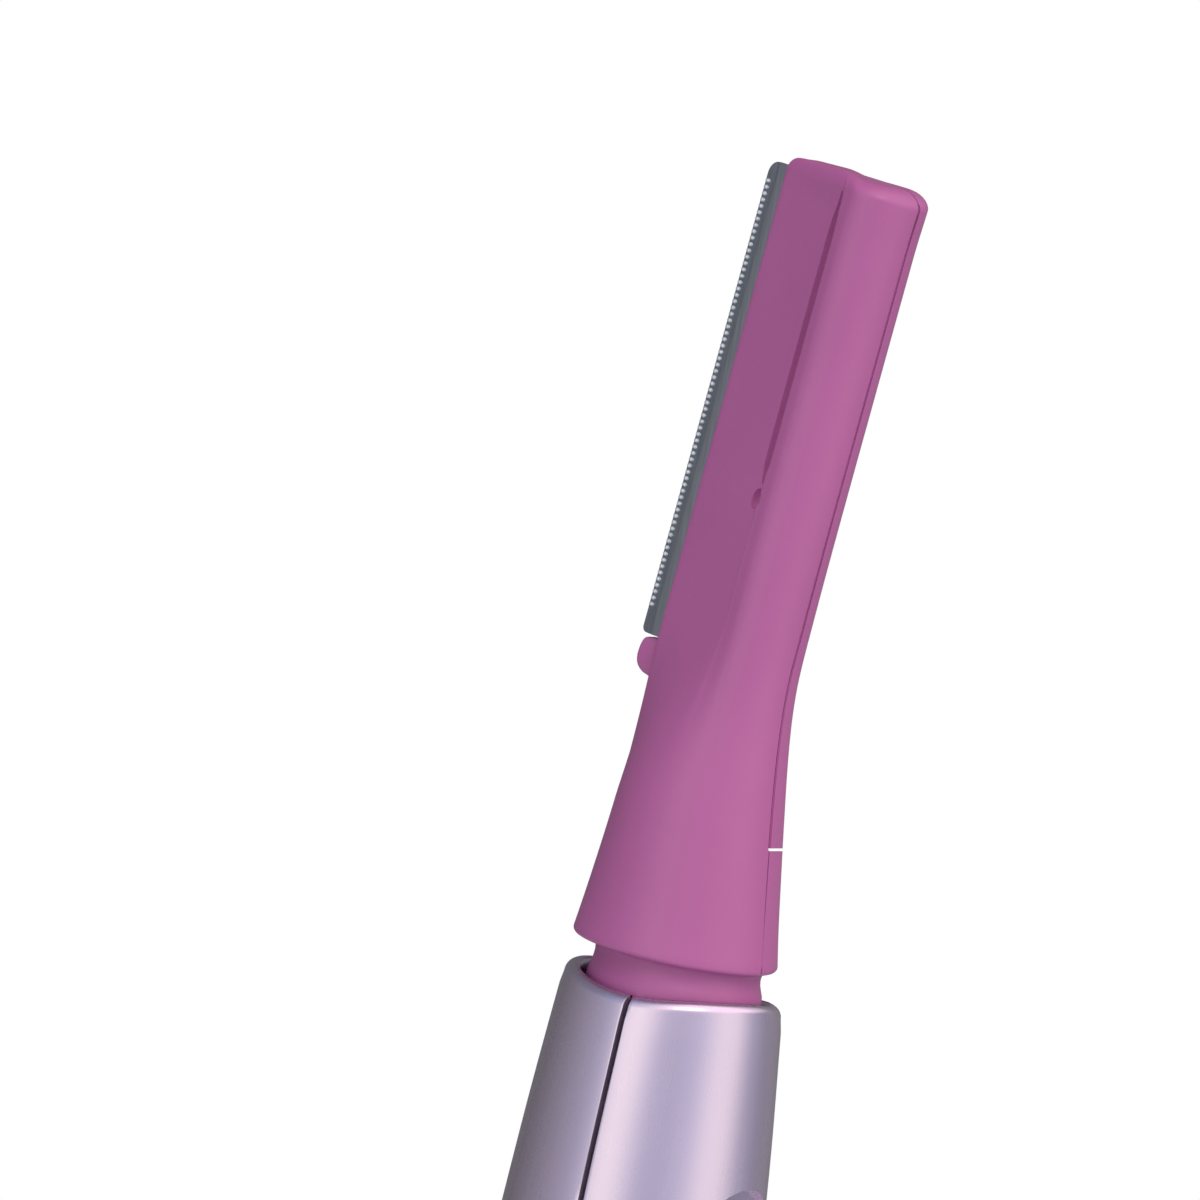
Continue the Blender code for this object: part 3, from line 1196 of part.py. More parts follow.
def make_lever(shop, material, steel):
    """The bell crank: hub, short arm with its drive pin, long arm and fork."""
    pivot_x = LEVER_PIVOT_X
    pivot_z = RIM_Z + LEVER_PIVOT_HEIGHT
    y_low = LEVER_Y
    y_high = LEVER_Y + LEVER_THICKNESS
    hub_low = y_low - SEAM_GAP
    hub = cylinder_mesh(
        (pivot_x, hub_low, pivot_z),
        (pivot_x, y_high + SEAM_GAP, pivot_z),
        LEVER_HUB_RADIUS,
        SMALL_ROUND_STEPS,
    )
    pin_x = pivot_x - LEVER_ARM_LENGTH
    pin_z = pivot_z + LEVER_ARM_RISE
    half = LEVER_ARM_HALF_WIDTH
    short_arm = plate_mesh(
        [
            (pin_x - half, pin_z - half),
            (pivot_x, pivot_z - half),
            (pivot_x, pivot_z + half),
            (pin_x - half, pin_z + half),
        ],
        y_low,
        y_high,
    )
    roof_z = RIM_Z - FORK_ROOF_BELOW_RIM
    bridge_z = roof_z + FORK_BRIDGE
    long_arm = plate_mesh(
        [
            (-half, bridge_z - FORK_BRIDGE / 2),
            (half, bridge_z - FORK_BRIDGE / 2),
            (pivot_x + half, pivot_z),
            (pivot_x - half, pivot_z),
        ],
        y_low,
        y_high,
    )
    outer = FORK_SLOT_HALF_WIDTH + FORK_PRONG
    base_z = RIM_Z - FORK_BASE_BELOW_RIM
    fork = box_mesh((-outer, -FORK_HALF_DEPTH, base_z), (outer, FORK_HALF_DEPTH, bridge_z))
    fork_slot = box_mesh(
        (-FORK_SLOT_HALF_WIDTH, -FORK_HALF_DEPTH - CUT_OVERRUN, base_z - CUT_OVERRUN),
        (FORK_SLOT_HALF_WIDTH, FORK_HALF_DEPTH + CUT_OVERRUN, roof_z),
    )
    drive_pin = cylinder_mesh(
        (pin_x, MOVING_BLADE_Y - BLADE_THICKNESS, pin_z),
        (pin_x, y_low + LEVER_THICKNESS / 2, pin_z),
        DRIVE_PIN_RADIUS,
    )
    bore = cylinder_mesh(
        (pivot_x, hub_low - CUT_OVERRUN, pivot_z),
        (pivot_x, y_high + CUT_OVERRUN, pivot_z),
        LEVER_PIN_RADIUS + RUNNING_CLEARANCE,
    )
    lever = shop.solid(
        hub,
        ("UNION", short_arm),
        ("UNION", long_arm),
        ("UNION", fork),
        ("DIFFERENCE", fork_slot),
        ("UNION", drive_pin),
        ("DIFFERENCE", bore),
    )
    origin = (pivot_x, 0, pivot_z)
    shop.piece("drive_lever", lever, material, origin)
    boss_y = hub_low - LEVER_BOSS_GAP
    pin = cylinder_mesh(
        (pivot_x, boss_y - LEVER_PIN_SEAT, pivot_z),
        (pivot_x, y_high + 2 * SEAM_GAP, pivot_z),
        LEVER_PIN_RADIUS,
    )
    shop.piece("lever_pin", pin, steel, origin)


def make_leaf(shop, steel):
    """Upright leaf spring that centres the head."""
    top = RIM_Z - BARREL_DEPTH + LEAF_NOTCH_DEPTH - SEAM_GAP
    leaf = box_mesh(
        (-LEAF_THICKNESS / 2, LEAF_OFFSET_Y - LEAF_HALF_WIDTH, MOTOR_TOP_Z + SEAM_GAP),
        (LEAF_THICKNESS / 2, LEAF_OFFSET_Y + LEAF_HALF_WIDTH, top),
    )
    shop.piece("centring_leaf", leaf, steel)


def main():
    """Build every piece."""
    clear_scene()
    shop = Workshop()
    head = principled("head_plastic", HEAD_COLOUR, GLOSS_ROUGHNESS, PLASTIC)
    handle = principled("handle_metal", HANDLE_COLOUR, LACQUER_ROUGHNESS, LACQUERED_METAL)
    steel = principled("blade_steel", STEEL_COLOUR, GLOSS_ROUGHNESS, BARE_METAL)
    bright = principled("bright_steel", BRIGHT_STEEL_COLOUR, POLISHED_ROUGHNESS, BARE_METAL)
    brass = principled("brass", BRASS_COLOUR, LACQUER_ROUGHNESS, BARE_METAL)
    black = principled("black_rubber", BLACK_COLOUR, MATTE_ROUGHNESS, PLASTIC)
    white = principled("inner_plastic", WHITE_COLOUR, MATTE_ROUGHNESS, PLASTIC)
    cell = principled("cell_wrap", CELL_COLOUR, GLOSS_ROUGHNESS, PLASTIC)
    board = principled("circuit_board", BOARD_COLOUR, MATTE_ROUGHNESS, PLASTIC)
    make_shells(shop, handle)
    make_switch(shop, head, brass)
    make_cover(shop, handle, black)
    make_chassis(shop, white)
    make_pivot_pins(shop, bright)
    make_motor(shop, bright, white, brass)
    make_rotor(shop, bright, white)
    make_battery(shop, cell)
    make_contacts(shop, brass, bright)
    make_board(shop, board)
    make_head(shop, head)
    make_blades(shop, steel, bright)
    make_carrier(shop, head, bright)
    make_lever(shop, white, bright)
    make_leaf(shop, bright)


if __name__ == "__main__":
    main()
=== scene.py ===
"""Facial hair trimmer: lavender metallic handle, magenta tilting head, long side blade.

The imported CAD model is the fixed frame. Z runs up the handle from its flat foot, the blade
faces -X and the slide switch faces +X. Lengths are in metres, apart from the tables of points
that a docstring gives in millimetres.
"""

import json
import logging
import math
from dataclasses import dataclass, field
from enum import Enum
from typing import Iterable, Sequence

import bmesh
import bpy
from mathutils import Matrix, Vector


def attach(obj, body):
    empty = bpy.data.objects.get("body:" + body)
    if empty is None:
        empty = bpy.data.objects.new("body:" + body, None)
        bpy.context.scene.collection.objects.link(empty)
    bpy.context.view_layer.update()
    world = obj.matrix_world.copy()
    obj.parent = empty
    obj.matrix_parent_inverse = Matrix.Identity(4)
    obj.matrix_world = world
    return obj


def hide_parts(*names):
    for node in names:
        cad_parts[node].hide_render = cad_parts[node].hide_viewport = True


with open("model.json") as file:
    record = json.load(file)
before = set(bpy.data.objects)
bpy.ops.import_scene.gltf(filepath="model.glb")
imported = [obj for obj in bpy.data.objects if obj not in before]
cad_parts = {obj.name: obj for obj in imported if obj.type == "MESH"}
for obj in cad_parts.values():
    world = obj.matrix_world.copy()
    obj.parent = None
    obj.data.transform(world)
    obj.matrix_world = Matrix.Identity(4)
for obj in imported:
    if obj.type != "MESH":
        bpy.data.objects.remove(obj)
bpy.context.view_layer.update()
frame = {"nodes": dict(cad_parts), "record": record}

LOG = logging.getLogger("facial_trimmer")

Colour = tuple[float, float, float, float]
Point = tuple[float, float, float]
Span = tuple[float, float]
Outline = list[tuple[float, float]]
Shape = tuple[tuple[float, float], ...]
Mesh = bmesh.types.BMesh
Material = bpy.types.Material
Socket = bpy.types.NodeSocket

MM = 0.001
RIM_Z = 0.104  # The handle's rim.
TIP_X = -8.95 * MM  # The blade's tips at the rim's height, if the blade reached down to it.
LEAN = 0.110  # How far the head leans to +X for each metre up.
SEAM_GAP = 0.0003
REACH = 2 * MM  # How far a tool stands out of what it cuts.
ROUND = 96  # Steps of a full turn.
MERGE = 1e-6
CLOSE = 1e-5
SHARP_ANGLE = math.radians(32)  # Edges sharper than this stay sharp in the shading.
NOISE_SPAN: Span = (0.3, 0.7)  # The range that a noise's values mostly fill.


class Slot(Enum):
    """The record's material slots."""

    HEAD = "head_plastic"
    HANDLE = "handle_metallic"
    BLADE = "blade_steel"
    BRIGHT = "bright_steel"
    BRASS = "contact_brass"
    RUBBER = "black_rubber"
    INNER = "inner_plastic"
    CELL = "cell_wrap"
    BOARD = "board_green"


class Body(Enum):
    """The bodies that pieces ride on."""

    HANDLE = "handle"
    HEAD = "head"
    SWITCH = "switch"
    COVER = "battery_door"


class Cut(Enum):
    """What a tool does to the mesh that it works."""

    AWAY = "DIFFERENCE"
    COMMON = "INTERSECT"


def smooth_share(value: float, low: float, high: float) -> float:
    """Ease from 0 to 1.

    Args:
        value: The value to place.
        low: Where the share is 0.
        high: Where the share is 1.

    Returns:
        The eased share.
    """
    share = min(max((value - low) / (high - low), 0.0), 1.0)
    return share * share * (3 - 2 * share)


def shade(colour: Colour, factor: float) -> Colour:
    """A colour made lighter or darker by a factor."""
    return (colour[0] * factor, colour[1] * factor, colour[2] * factor, 1.0)


def spread(low: float, high: float, count: int) -> list[float]:
    """Evenly spaced values.

    Args:
        low: First value.
        high: Last value.
        count: How many.

    Returns:
        The values, both ends included.
    """
    return [low + (high - low) * i / (count - 1) for i in range(count)]


def cubic(t: float, start: float, end: float, slope_in: float, slope_out: float = 0.0) -> float:
    """A smooth curve between two values.

    Args:
        t: Share of the way.
        start: The value at 0.
        end: The value at 1.
        slope_in: The slope at 0.
        slope_out: The slope at 1.

    Returns:
        The value.
    """
    value = (2 * t**3 - 3 * t**2 + 1) * start + (t**3 - 2 * t**2 + t) * slope_in
    return value + (3 * t**2 - 2 * t**3) * end + (t**3 - t**2) * slope_out


def arc(centre: tuple[float, float], size: float, start: float, end: float, count: int) -> Outline:
    """Points on an arc.

    Args:
        centre: Its centre.
        size: Its radius.
        start: First angle in degrees.
        end: Last angle in degrees.
        count: How many points.

    Returns:
        The points.
    """
    turns = [math.radians(angle) for angle in spread(start, end, count)]
    return [(centre[0] + size * math.cos(t), centre[1] + size * math.sin(t)) for t in turns]


def spun(profile: Sequence[tuple[float, float]], steps: int, closed: bool = False) -> Mesh:
    """Spin a profile of (radius, z) points about Z.

    Args:
        profile: The points in order.
        steps: Steps of the full turn.
        closed: Whether the last point joins the first.

    Returns:
        The spun mesh with its doubles merged.
    """
    bm = bmesh.new()
    verts = [bm.verts.new((radius, 0, z)) for radius, z in profile]
    pairs = list(zip(verts, verts[1:]))
    if closed:
        pairs.append((verts[-1], verts[0]))
    edges = [bm.edges.new(pair) for pair in pairs]
    bmesh.ops.spin(
        bm,
        geom=verts + edges,
        cent=(0, 0, 0),
        axis=(0, 0, 1),
        angle=2 * math.pi,
        steps=steps,
        use_merge=True,
    )
    bmesh.ops.remove_doubles(bm, verts=bm.verts, dist=MERGE)
    bmesh.ops.recalc_face_normals(bm, faces=bm.faces)
    return bm


def vertices_of(geom: Iterable[bmesh.types.BMVert | bmesh.types.BMEdge]) -> list[bmesh.types.BMVert]:
    """The vertices among the geometry that an operator made."""
    return [g for g in geom if isinstance(g, bmesh.types.BMVert)]


def thickened(bm: Mesh, run: Point) -> Mesh:
    """Extrude a flat face into a closed solid.

    Args:
        bm: The mesh with the face.
        run: How far and which way.

    Returns:
        The same mesh.
    """
    made = bmesh.ops.extrude_face_region(bm, geom=list(bm.faces))["geom"]
    bmesh.ops.translate(bm, verts=vertices_of(made), vec=run)
    bmesh.ops.recalc_face_normals(bm, faces=bm.faces)
    return bm


def settled(name: str, bm: Mesh) -> bpy.types.Mesh:
    """Turn a built mesh into the data that an object holds.

    Args:
        name: The name of the data.
        bm: The mesh, which is freed.

    Returns:
        The data.
    """
    mesh = bpy.data.meshes.new(name)
    bm.to_mesh(mesh)
    bm.free()
    return mesh


def linked(name: str, data: bpy.types.ID) -> bpy.types.Object:
    """Put an object into the scene.

    Args:
        name: Its name.
        data: Its data.

    Returns:
        The object.
    """
    item = bpy.data.objects.new(name, data)
    bpy.context.scene.collection.objects.link(item)
    return item


def ring_loft(rings: Sequence[Sequence[Point]], cap_low: bool, cap_high: bool) -> Mesh:
    """Extrude a ring from section to section.

    Args:
        rings: The sections, each with as many points.
        cap_low: Whether the first ring is filled.
        cap_high: Whether the last ring is filled.

    Returns:
        The lofted surface.
    """
    bm = bmesh.new()
    verts = bmesh.ops.create_circle(bm, segments=len(rings[0]), radius=1.0)["verts"]
    for vert, point in zip(verts, rings[0]):
        vert.co = point
    edges = list(bm.edges)
    if cap_low:
        bmesh.ops.contextual_create(bm, geom=edges)
    for ring in rings[1:]:
        order = {vert: i for i, vert in enumerate(verts)}
        made = bmesh.ops.extrude_edge_only(bm, edges=edges)["geom"]
        edges = [g for g in made if isinstance(g, bmesh.types.BMEdge)]
        placed: list[bmesh.types.BMVert] = [None] * len(verts)
        for vert in vertices_of(made):
            old = next(e.other_vert(vert) for e in vert.link_edges if e.other_vert(vert) in order)
            placed[order[old]] = vert
        edges = [e for e in edges if e.verts[0] not in order and e.verts[1] not in order]
        verts = placed
        for vert, point in zip(verts, ring):
            vert.co = point
    if cap_high:
        bmesh.ops.contextual_create(bm, geom=edges)
    bmesh.ops.recalc_face_normals(bm, faces=bm.faces)
    return bm


def block(low: Point, high: Point) -> Mesh:
    """A box between two corners.

    Args:
        low: Lowest corner.
        high: Highest corner.

    Returns:
        The box.
    """
    bm = bmesh.new()
    size = Vector(high) - Vector(low)
    middle = (Vector(high) + Vector(low)) / 2
    bmesh.ops.create_cube(bm, size=1.0, matrix=Matrix.Translation(middle) @ Matrix.Diagonal((*size, 1.0)))
    return bm


def rod(start: Point, end: Point, radius: float, sides: int) -> Mesh:
    """A cylinder between two points.

    Args:
        start: Centre of one end.
        end: Centre of the other end.
        radius: Its radius.
        sides: Its sides.

    Returns:
        The cylinder.
    """
    bm = bmesh.new()
    run = Vector(end) - Vector(start)
    turn = run.to_track_quat("Z", "Y").to_matrix().to_4x4()
    matrix = Matrix.Translation((Vector(end) + Vector(start)) / 2) @ turn
    bmesh.ops.create_cone(
        bm, cap_ends=True, segments=sides, radius1=radius, radius2=radius, depth=run.length, matrix=matrix
    )
    return bm


def prism(outline: Outline, low_y: float, high_y: float) -> Mesh:
    """A plate with an outline of (x, z) points, thick along Y.

    Args:
        outline: Its corners.
        low_y: One face.
        high_y: The other face.

    Returns:
        The plate.
    """
    bm = bmesh.new()
    verts = bmesh.ops.create_circle(bm, cap_ends=True, segments=len(outline), radius=1.0)["verts"]
    for vert, (x, z) in zip(verts, outline):
        vert.co = (x, low_y, z)
    return thickened(bm, (0, high_y - low_y, 0))


def stadium(low_z: float, high_z: float, half_width: float, x_low: float, x_high: float) -> Mesh:
    """A prism along X with a long round-ended outline.

    Args:
        low_z: Its lower end.
        high_z: Its upper end.
        half_width: Half its width.
        x_low: Where it starts along X.
        x_high: Where it ends.

    Returns:
        The prism.
    """
    bm = bmesh.new()
    turn = Matrix.Rotation(math.pi / 2, 4, "Y") @ Matrix.Rotation(2 * math.pi / ROUND, 4, "Z")
    bmesh.ops.create_circle(bm, cap_ends=True, segments=ROUND // 2, radius=half_width, matrix=turn)
    for vert in bm.verts:
        vert.co.z += high_z - half_width if vert.co.z > 0 else low_z + half_width
        vert.co.x = x_low
    return thickened(bm, (x_high - x_low, 0, 0))


def rounded(
    bm: Mesh, edges: Iterable[bmesh.types.BMEdge], offset: float, segments: int, clamp: bool = True
) -> None:
    """Round some of a mesh's edges.

    Args:
        bm: The mesh.
        edges: The edges.
        offset: Width of the round.
        segments: Its segments.
        clamp: Whether the round stops where it would overlap another.
    """
    bmesh.ops.bevel(
        bm, geom=list(edges), offset=offset, offset_type="OFFSET", segments=segments,
        profile=0.5, affect="EDGES", clamp_overlap=clamp, material=-1,
    )


def sliced(bm: Mesh, point: Point, normal: Point, drop: bool = True) -> list[bmesh.types.BMFace]:
    """Cut a mesh along a plane.

    Args:
        bm: The mesh.
        point: A point on the plane.
        normal: The plane's normal.
        drop: True to drop the side behind the normal and close the cut, False to only score the mesh.

    Returns:
        The faces that close the cut.
    """
    geom = list(bm.verts) + list(bm.edges) + list(bm.faces)
    cut = bmesh.ops.bisect_plane(
        bm, geom=geom, plane_co=point, plane_no=normal, clear_inner=drop, dist=MERGE
    )["geom_cut"]
    if not drop:
        return []
    edges = [g for g in cut if isinstance(g, bmesh.types.BMEdge)]
    return bmesh.ops.holes_fill(bm, edges=edges)["faces"]


def merged_into(bm: Mesh, others: Iterable[Mesh]) -> Mesh:
    """Add other meshes to one.

    Args:
        bm: The mesh that grows.
        others: The meshes that it takes in, which are freed.

    Returns:
        The grown mesh.
    """
    for other in others:
        mesh = settled("part", other)
        bm.from_mesh(mesh)
        bpy.data.meshes.remove(mesh)
    return bm


def worked(bm: Mesh, tool: Mesh, cut: Cut = Cut.AWAY) -> Mesh:
    """Cut one closed mesh with another.

    Args:
        bm: The mesh that is worked, which is freed.
        tool: The mesh that works it, which is freed.
        cut: What the tool does.

    Returns:
        The result.
    """
    items = [linked("step", settled("step", source)) for source in (bm, tool)]
    step = items[0].modifiers.new("step", "BOOLEAN")
    step.operation = cut.value
    step.solver = "EXACT"
    step.object = items[1]
    bpy.context.view_layer.update()
    graph = bpy.context.evaluated_depsgraph_get()
    made = bpy.data.meshes.new_from_object(items[0].evaluated_get(graph))
    result = bmesh.new()
    result.from_mesh(made)
    bmesh.ops.remove_doubles(result, verts=result.verts, dist=MERGE)
    for item in items:
        mesh = item.data
        bpy.data.objects.remove(item, do_unlink=True)
        bpy.data.meshes.remove(mesh)
    bpy.data.meshes.remove(made)
    return result


def piece(
    name: str,
    bm: Mesh,
    finishes: Sequence[Material],
    body: Body,
    node: str,
) -> None:
    """Make a finished piece of the trimmer from a mesh.

    Args:
        name: The piece's name.
        bm: Its mesh, in world metres, which is freed.
        finishes: Its materials.
        body: The body that it rides on.
        node: The CAD node that it stands for.
    """
    mesh = settled(name, bm)
    for finish in finishes:
        mesh.materials.append(finish)
    mesh.shade_smooth()
    mesh.set_sharp_from_angle(angle=SHARP_ANGLE)
    item = linked(name, mesh)
    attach(item, body.value)
    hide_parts(node)
    LOG.info("%s: %d faces on %s", name, len(mesh.polygons), body.value)


class Nodes:
    """A node tree with short ways to add and join nodes."""

    def __init__(self, tree: bpy.types.NodeTree) -> None:
        """Take hold of a tree."""
        self.tree = tree

    def add(self, kind: str, **values: float | Point | Colour) -> bpy.types.Node:
        """Add a node.

        Args:
            kind: Its Blender type.
            **values: Input values, with spaces written as underscores.

        Returns:
            The node.
        """
        node = self.tree.nodes.new(kind)
        self.fill(node, **values)
        return node

    def fill(self, node: bpy.types.Node, **values: float | Point | Colour) -> None:
        """Set a node's plain inputs, with spaces written as underscores."""
        for key, value in values.items():
            node.inputs[key.replace("_", " ")].default_value = value

    def join(self, source: Socket, target: Socket) -> None:
        """Link one socket to another."""
        self.tree.links.new(source, target)

    def maths(self, operation: str, *values: Socket | float) -> Socket:
        """Work out a value.

        Args:
            operation: What the node does.
            *values: Its inputs in order.

        Returns:
            The result.
        """
        node = self.add("ShaderNodeMath")
        node.operation = operation
        for value, target in zip(values, node.inputs):
            if isinstance(value, float):
                target.default_value = value
            else:
                self.join(value, target)
        return node.outputs[0]

    def ranged(self, value: Socket, ends: Span, result: Span) -> Socket:
        """Map a value from one range to another.

        Args:
            value: The value.
            ends: The range that it comes in.
            result: The range that it goes to.

        Returns:
            The new value.
        """
        node = self.add(
            "ShaderNodeMapRange", From_Min=ends[0], From_Max=ends[1], To_Min=result[0], To_Max=result[1]
        )
        self.join(value, node.inputs["Value"])
        return node.outputs["Result"]


class Graph(Nodes):
    """A material's node tree."""

    def __init__(self, name: str) -> None:
        """Start a tree with a Principled shader.

        Args:
            name: The material's name.
        """
        self.material = bpy.data.materials.new(name)
        self.material.use_nodes = True
        super().__init__(self.material.node_tree)
        self.shader = self.tree.nodes["Principled BSDF"]
        self.place = self.add("ShaderNodeTexCoord").outputs["Object"]

    def noise(self, scale: Point, detail: float) -> Socket:
        """A noise whose grain may be stretched along the axes.

        Args:
            scale: Grains per metre along X, Y and Z.
            detail: Octaves.

        Returns:
            Its value.
        """
        mapping = self.add("ShaderNodeMapping", Scale=scale)
        self.join(self.place, mapping.inputs["Vector"])
        noise = self.add("ShaderNodeTexNoise", Scale=1.0, Detail=detail)
        self.join(mapping.outputs["Vector"], noise.inputs["Vector"])
        return noise.outputs["Fac"]

    def vary_roughness(self, value: Socket, middle: float, change: float) -> None:
        """Let a noise value change the roughness.

        Args:
            value: The noise.
            middle: The roughness in the middle of its range.
            change: How far it goes to both sides.
        """
        varied = self.ranged(value, NOISE_SPAN, (middle - change, middle + change))
        self.join(varied, self.shader.inputs["Roughness"])

    def mottle(self, value: Socket, colour: Colour, change: float) -> None:
        """Let a noise value make the colour darker and lighter.

        Args:
            value: The noise.
            colour: The colour in the middle of its range.
            change: The share by which the colour changes to both sides.
        """
        ramp = self.add("ShaderNodeValToRGB")
        ends = zip(NOISE_SPAN, (1 - change, 1 + change))
        for element, (position, factor) in zip(ramp.color_ramp.elements, ends):
            element.position, element.color = position, shade(colour, factor)
        self.join(value, ramp.inputs["Fac"])
        self.join(ramp.outputs["Color"], self.shader.inputs["Base Color"])

    def bump(self, value: Socket, strength: float, distance: float) -> None:
        """Let a value raise the surface.

        Args:
            value: The height.
            strength: Share of the bump.
            distance: Height in metres at full value.
        """
        node = self.add("ShaderNodeBump", Strength=strength, Distance=distance)
        self.join(value, node.inputs["Height"])
        self.join(node.outputs["Normal"], self.shader.inputs["Normal"])

    def set(self, **values: float | Colour) -> None:
        """Set the shader's plain inputs."""
        self.fill(self.shader, **values)


@dataclass(frozen=True)
class MouldedPlastic:
    """Moulded plastic with a fine spark-eroded grain."""

    name: str
    colour: Colour
    roughness: float = 0.42
    roughness_change: float = 0.06
    colour_change: float = 0.03
    grain: float = 9000.0
    grain_strength: float = 0.10
    grain_height: float = 0.000012
    cloud: Point = (140.0, 140.0, 90.0)
    coat: float = 0.0
    coat_roughness: float = 0.2
    specular: float = 0.5

    def build(self) -> Material:
        """Make the material."""
        graph = Graph(self.name)
        graph.mottle(graph.noise(self.cloud, 2), self.colour, self.colour_change)
        fine = graph.noise((self.grain,) * 3, 2)
        graph.vary_roughness(fine, self.roughness, self.roughness_change)
        graph.bump(fine, self.grain_strength, self.grain_height)
        graph.set(Coat_Weight=self.coat, Coat_Roughness=self.coat_roughness, Specular_IOR_Level=self.specular)
        return graph.material


@dataclass(frozen=True)
class MetallicLacquer:
    """Metallic lacquer: fine flakes under a satin coat, drawn faintly along the handle."""

    name: str
    colour: Colour
    roughness: float = 0.27
    metallic: float = 0.88
    flake: float = 16000.0
    flake_change: float = 0.02
    drawn: Point = (900.0, 900.0, 70.0)
    roughness_change: float = 0.015
    coat: float = 0.25
    coat_roughness: float = 0.12

    def build(self) -> Material:
        """Make the material."""
        graph = Graph(self.name)
        graph.mottle(graph.noise((self.flake,) * 3, 1), self.colour, self.flake_change)
        graph.vary_roughness(graph.noise(self.drawn, 3), self.roughness, self.roughness_change)
        graph.set(Metallic=self.metallic, Coat_Weight=self.coat, Coat_Roughness=self.coat_roughness)
        return graph.material


@dataclass(frozen=True)
class GroundMetal:
    """Bare metal with its grinding or drawing lines."""

    name: str
    colour: Colour
    roughness: float = 0.30
    lines: Point = (9000.0, 9000.0, 400.0)
    line_change: float = 0.10
    line_strength: float = 0.15
    line_height: float = 0.000004
    roughness_change: float = 0.06
    metallic: float = 1.0

    def build(self) -> Material:
        """Make the material."""
        graph = Graph(self.name)
        drawn = graph.noise(self.lines, 3)
        graph.mottle(drawn, self.colour, self.line_change)
        graph.vary_roughness(drawn, self.roughness, self.roughness_change)
        graph.bump(drawn, self.line_strength, self.line_height)
        graph.set(Metallic=self.metallic)
        return graph.material


def made_by(finish: MouldedPlastic | MetallicLacquer | GroundMetal) -> Material:
    """A palette's entry, which is made when the palette is."""
    return field(default_factory=finish.build)


@dataclass(frozen=True)
class Palette:
    """Every finish of the trimmer, made once."""

    head: Material = made_by(
        MouldedPlastic("magenta_plastic", (0.396, 0.109, 0.300, 1), coat=0.05, specular=0.42)
    )
    handle: Material = made_by(MetallicLacquer("lavender_lacquer", (0.620, 0.530, 0.680, 1)))
    blade: Material = made_by(GroundMetal("blade_steel", (0.265, 0.292, 0.322, 1), 0.36))
    # A lighter copy of the blade steel: the land's lighter tone is painted light.
    land: Material = made_by(GroundMetal("ground_land_painted_light", (0.318, 0.334, 0.358, 1), 0.34))
    # The tips' pale bluish, half-diffuse colour is a painted highlight on the polished tips.
    tips: Material = made_by(GroundMetal("polished_tips_painted_highlight", (0.60, 0.67, 0.72, 1), 0.40, metallic=0.45))
    bright: Material = made_by(GroundMetal("bright_steel", (0.62, 0.62, 0.65, 1), 0.24))
    brass: Material = made_by(GroundMetal("contact_brass", (0.72, 0.50, 0.20, 1), 0.28, (2500.0,) * 3))
    rubber: Material = made_by(MouldedPlastic("seal_rubber", (0.025, 0.025, 0.027, 1), 0.62, grain=5000.0))
    inner: Material = made_by(MouldedPlastic("inner_plastic", (0.74, 0.74, 0.72, 1), 0.46))
    wrap: Material = made_by(MouldedPlastic("cell_wrap", (0.07, 0.12, 0.10, 1), 0.30, coat=0.5))
    board: Material = made_by(MouldedPlastic("board_green", (0.03, 0.16, 0.07, 1), 0.38, colour_change=0.12))


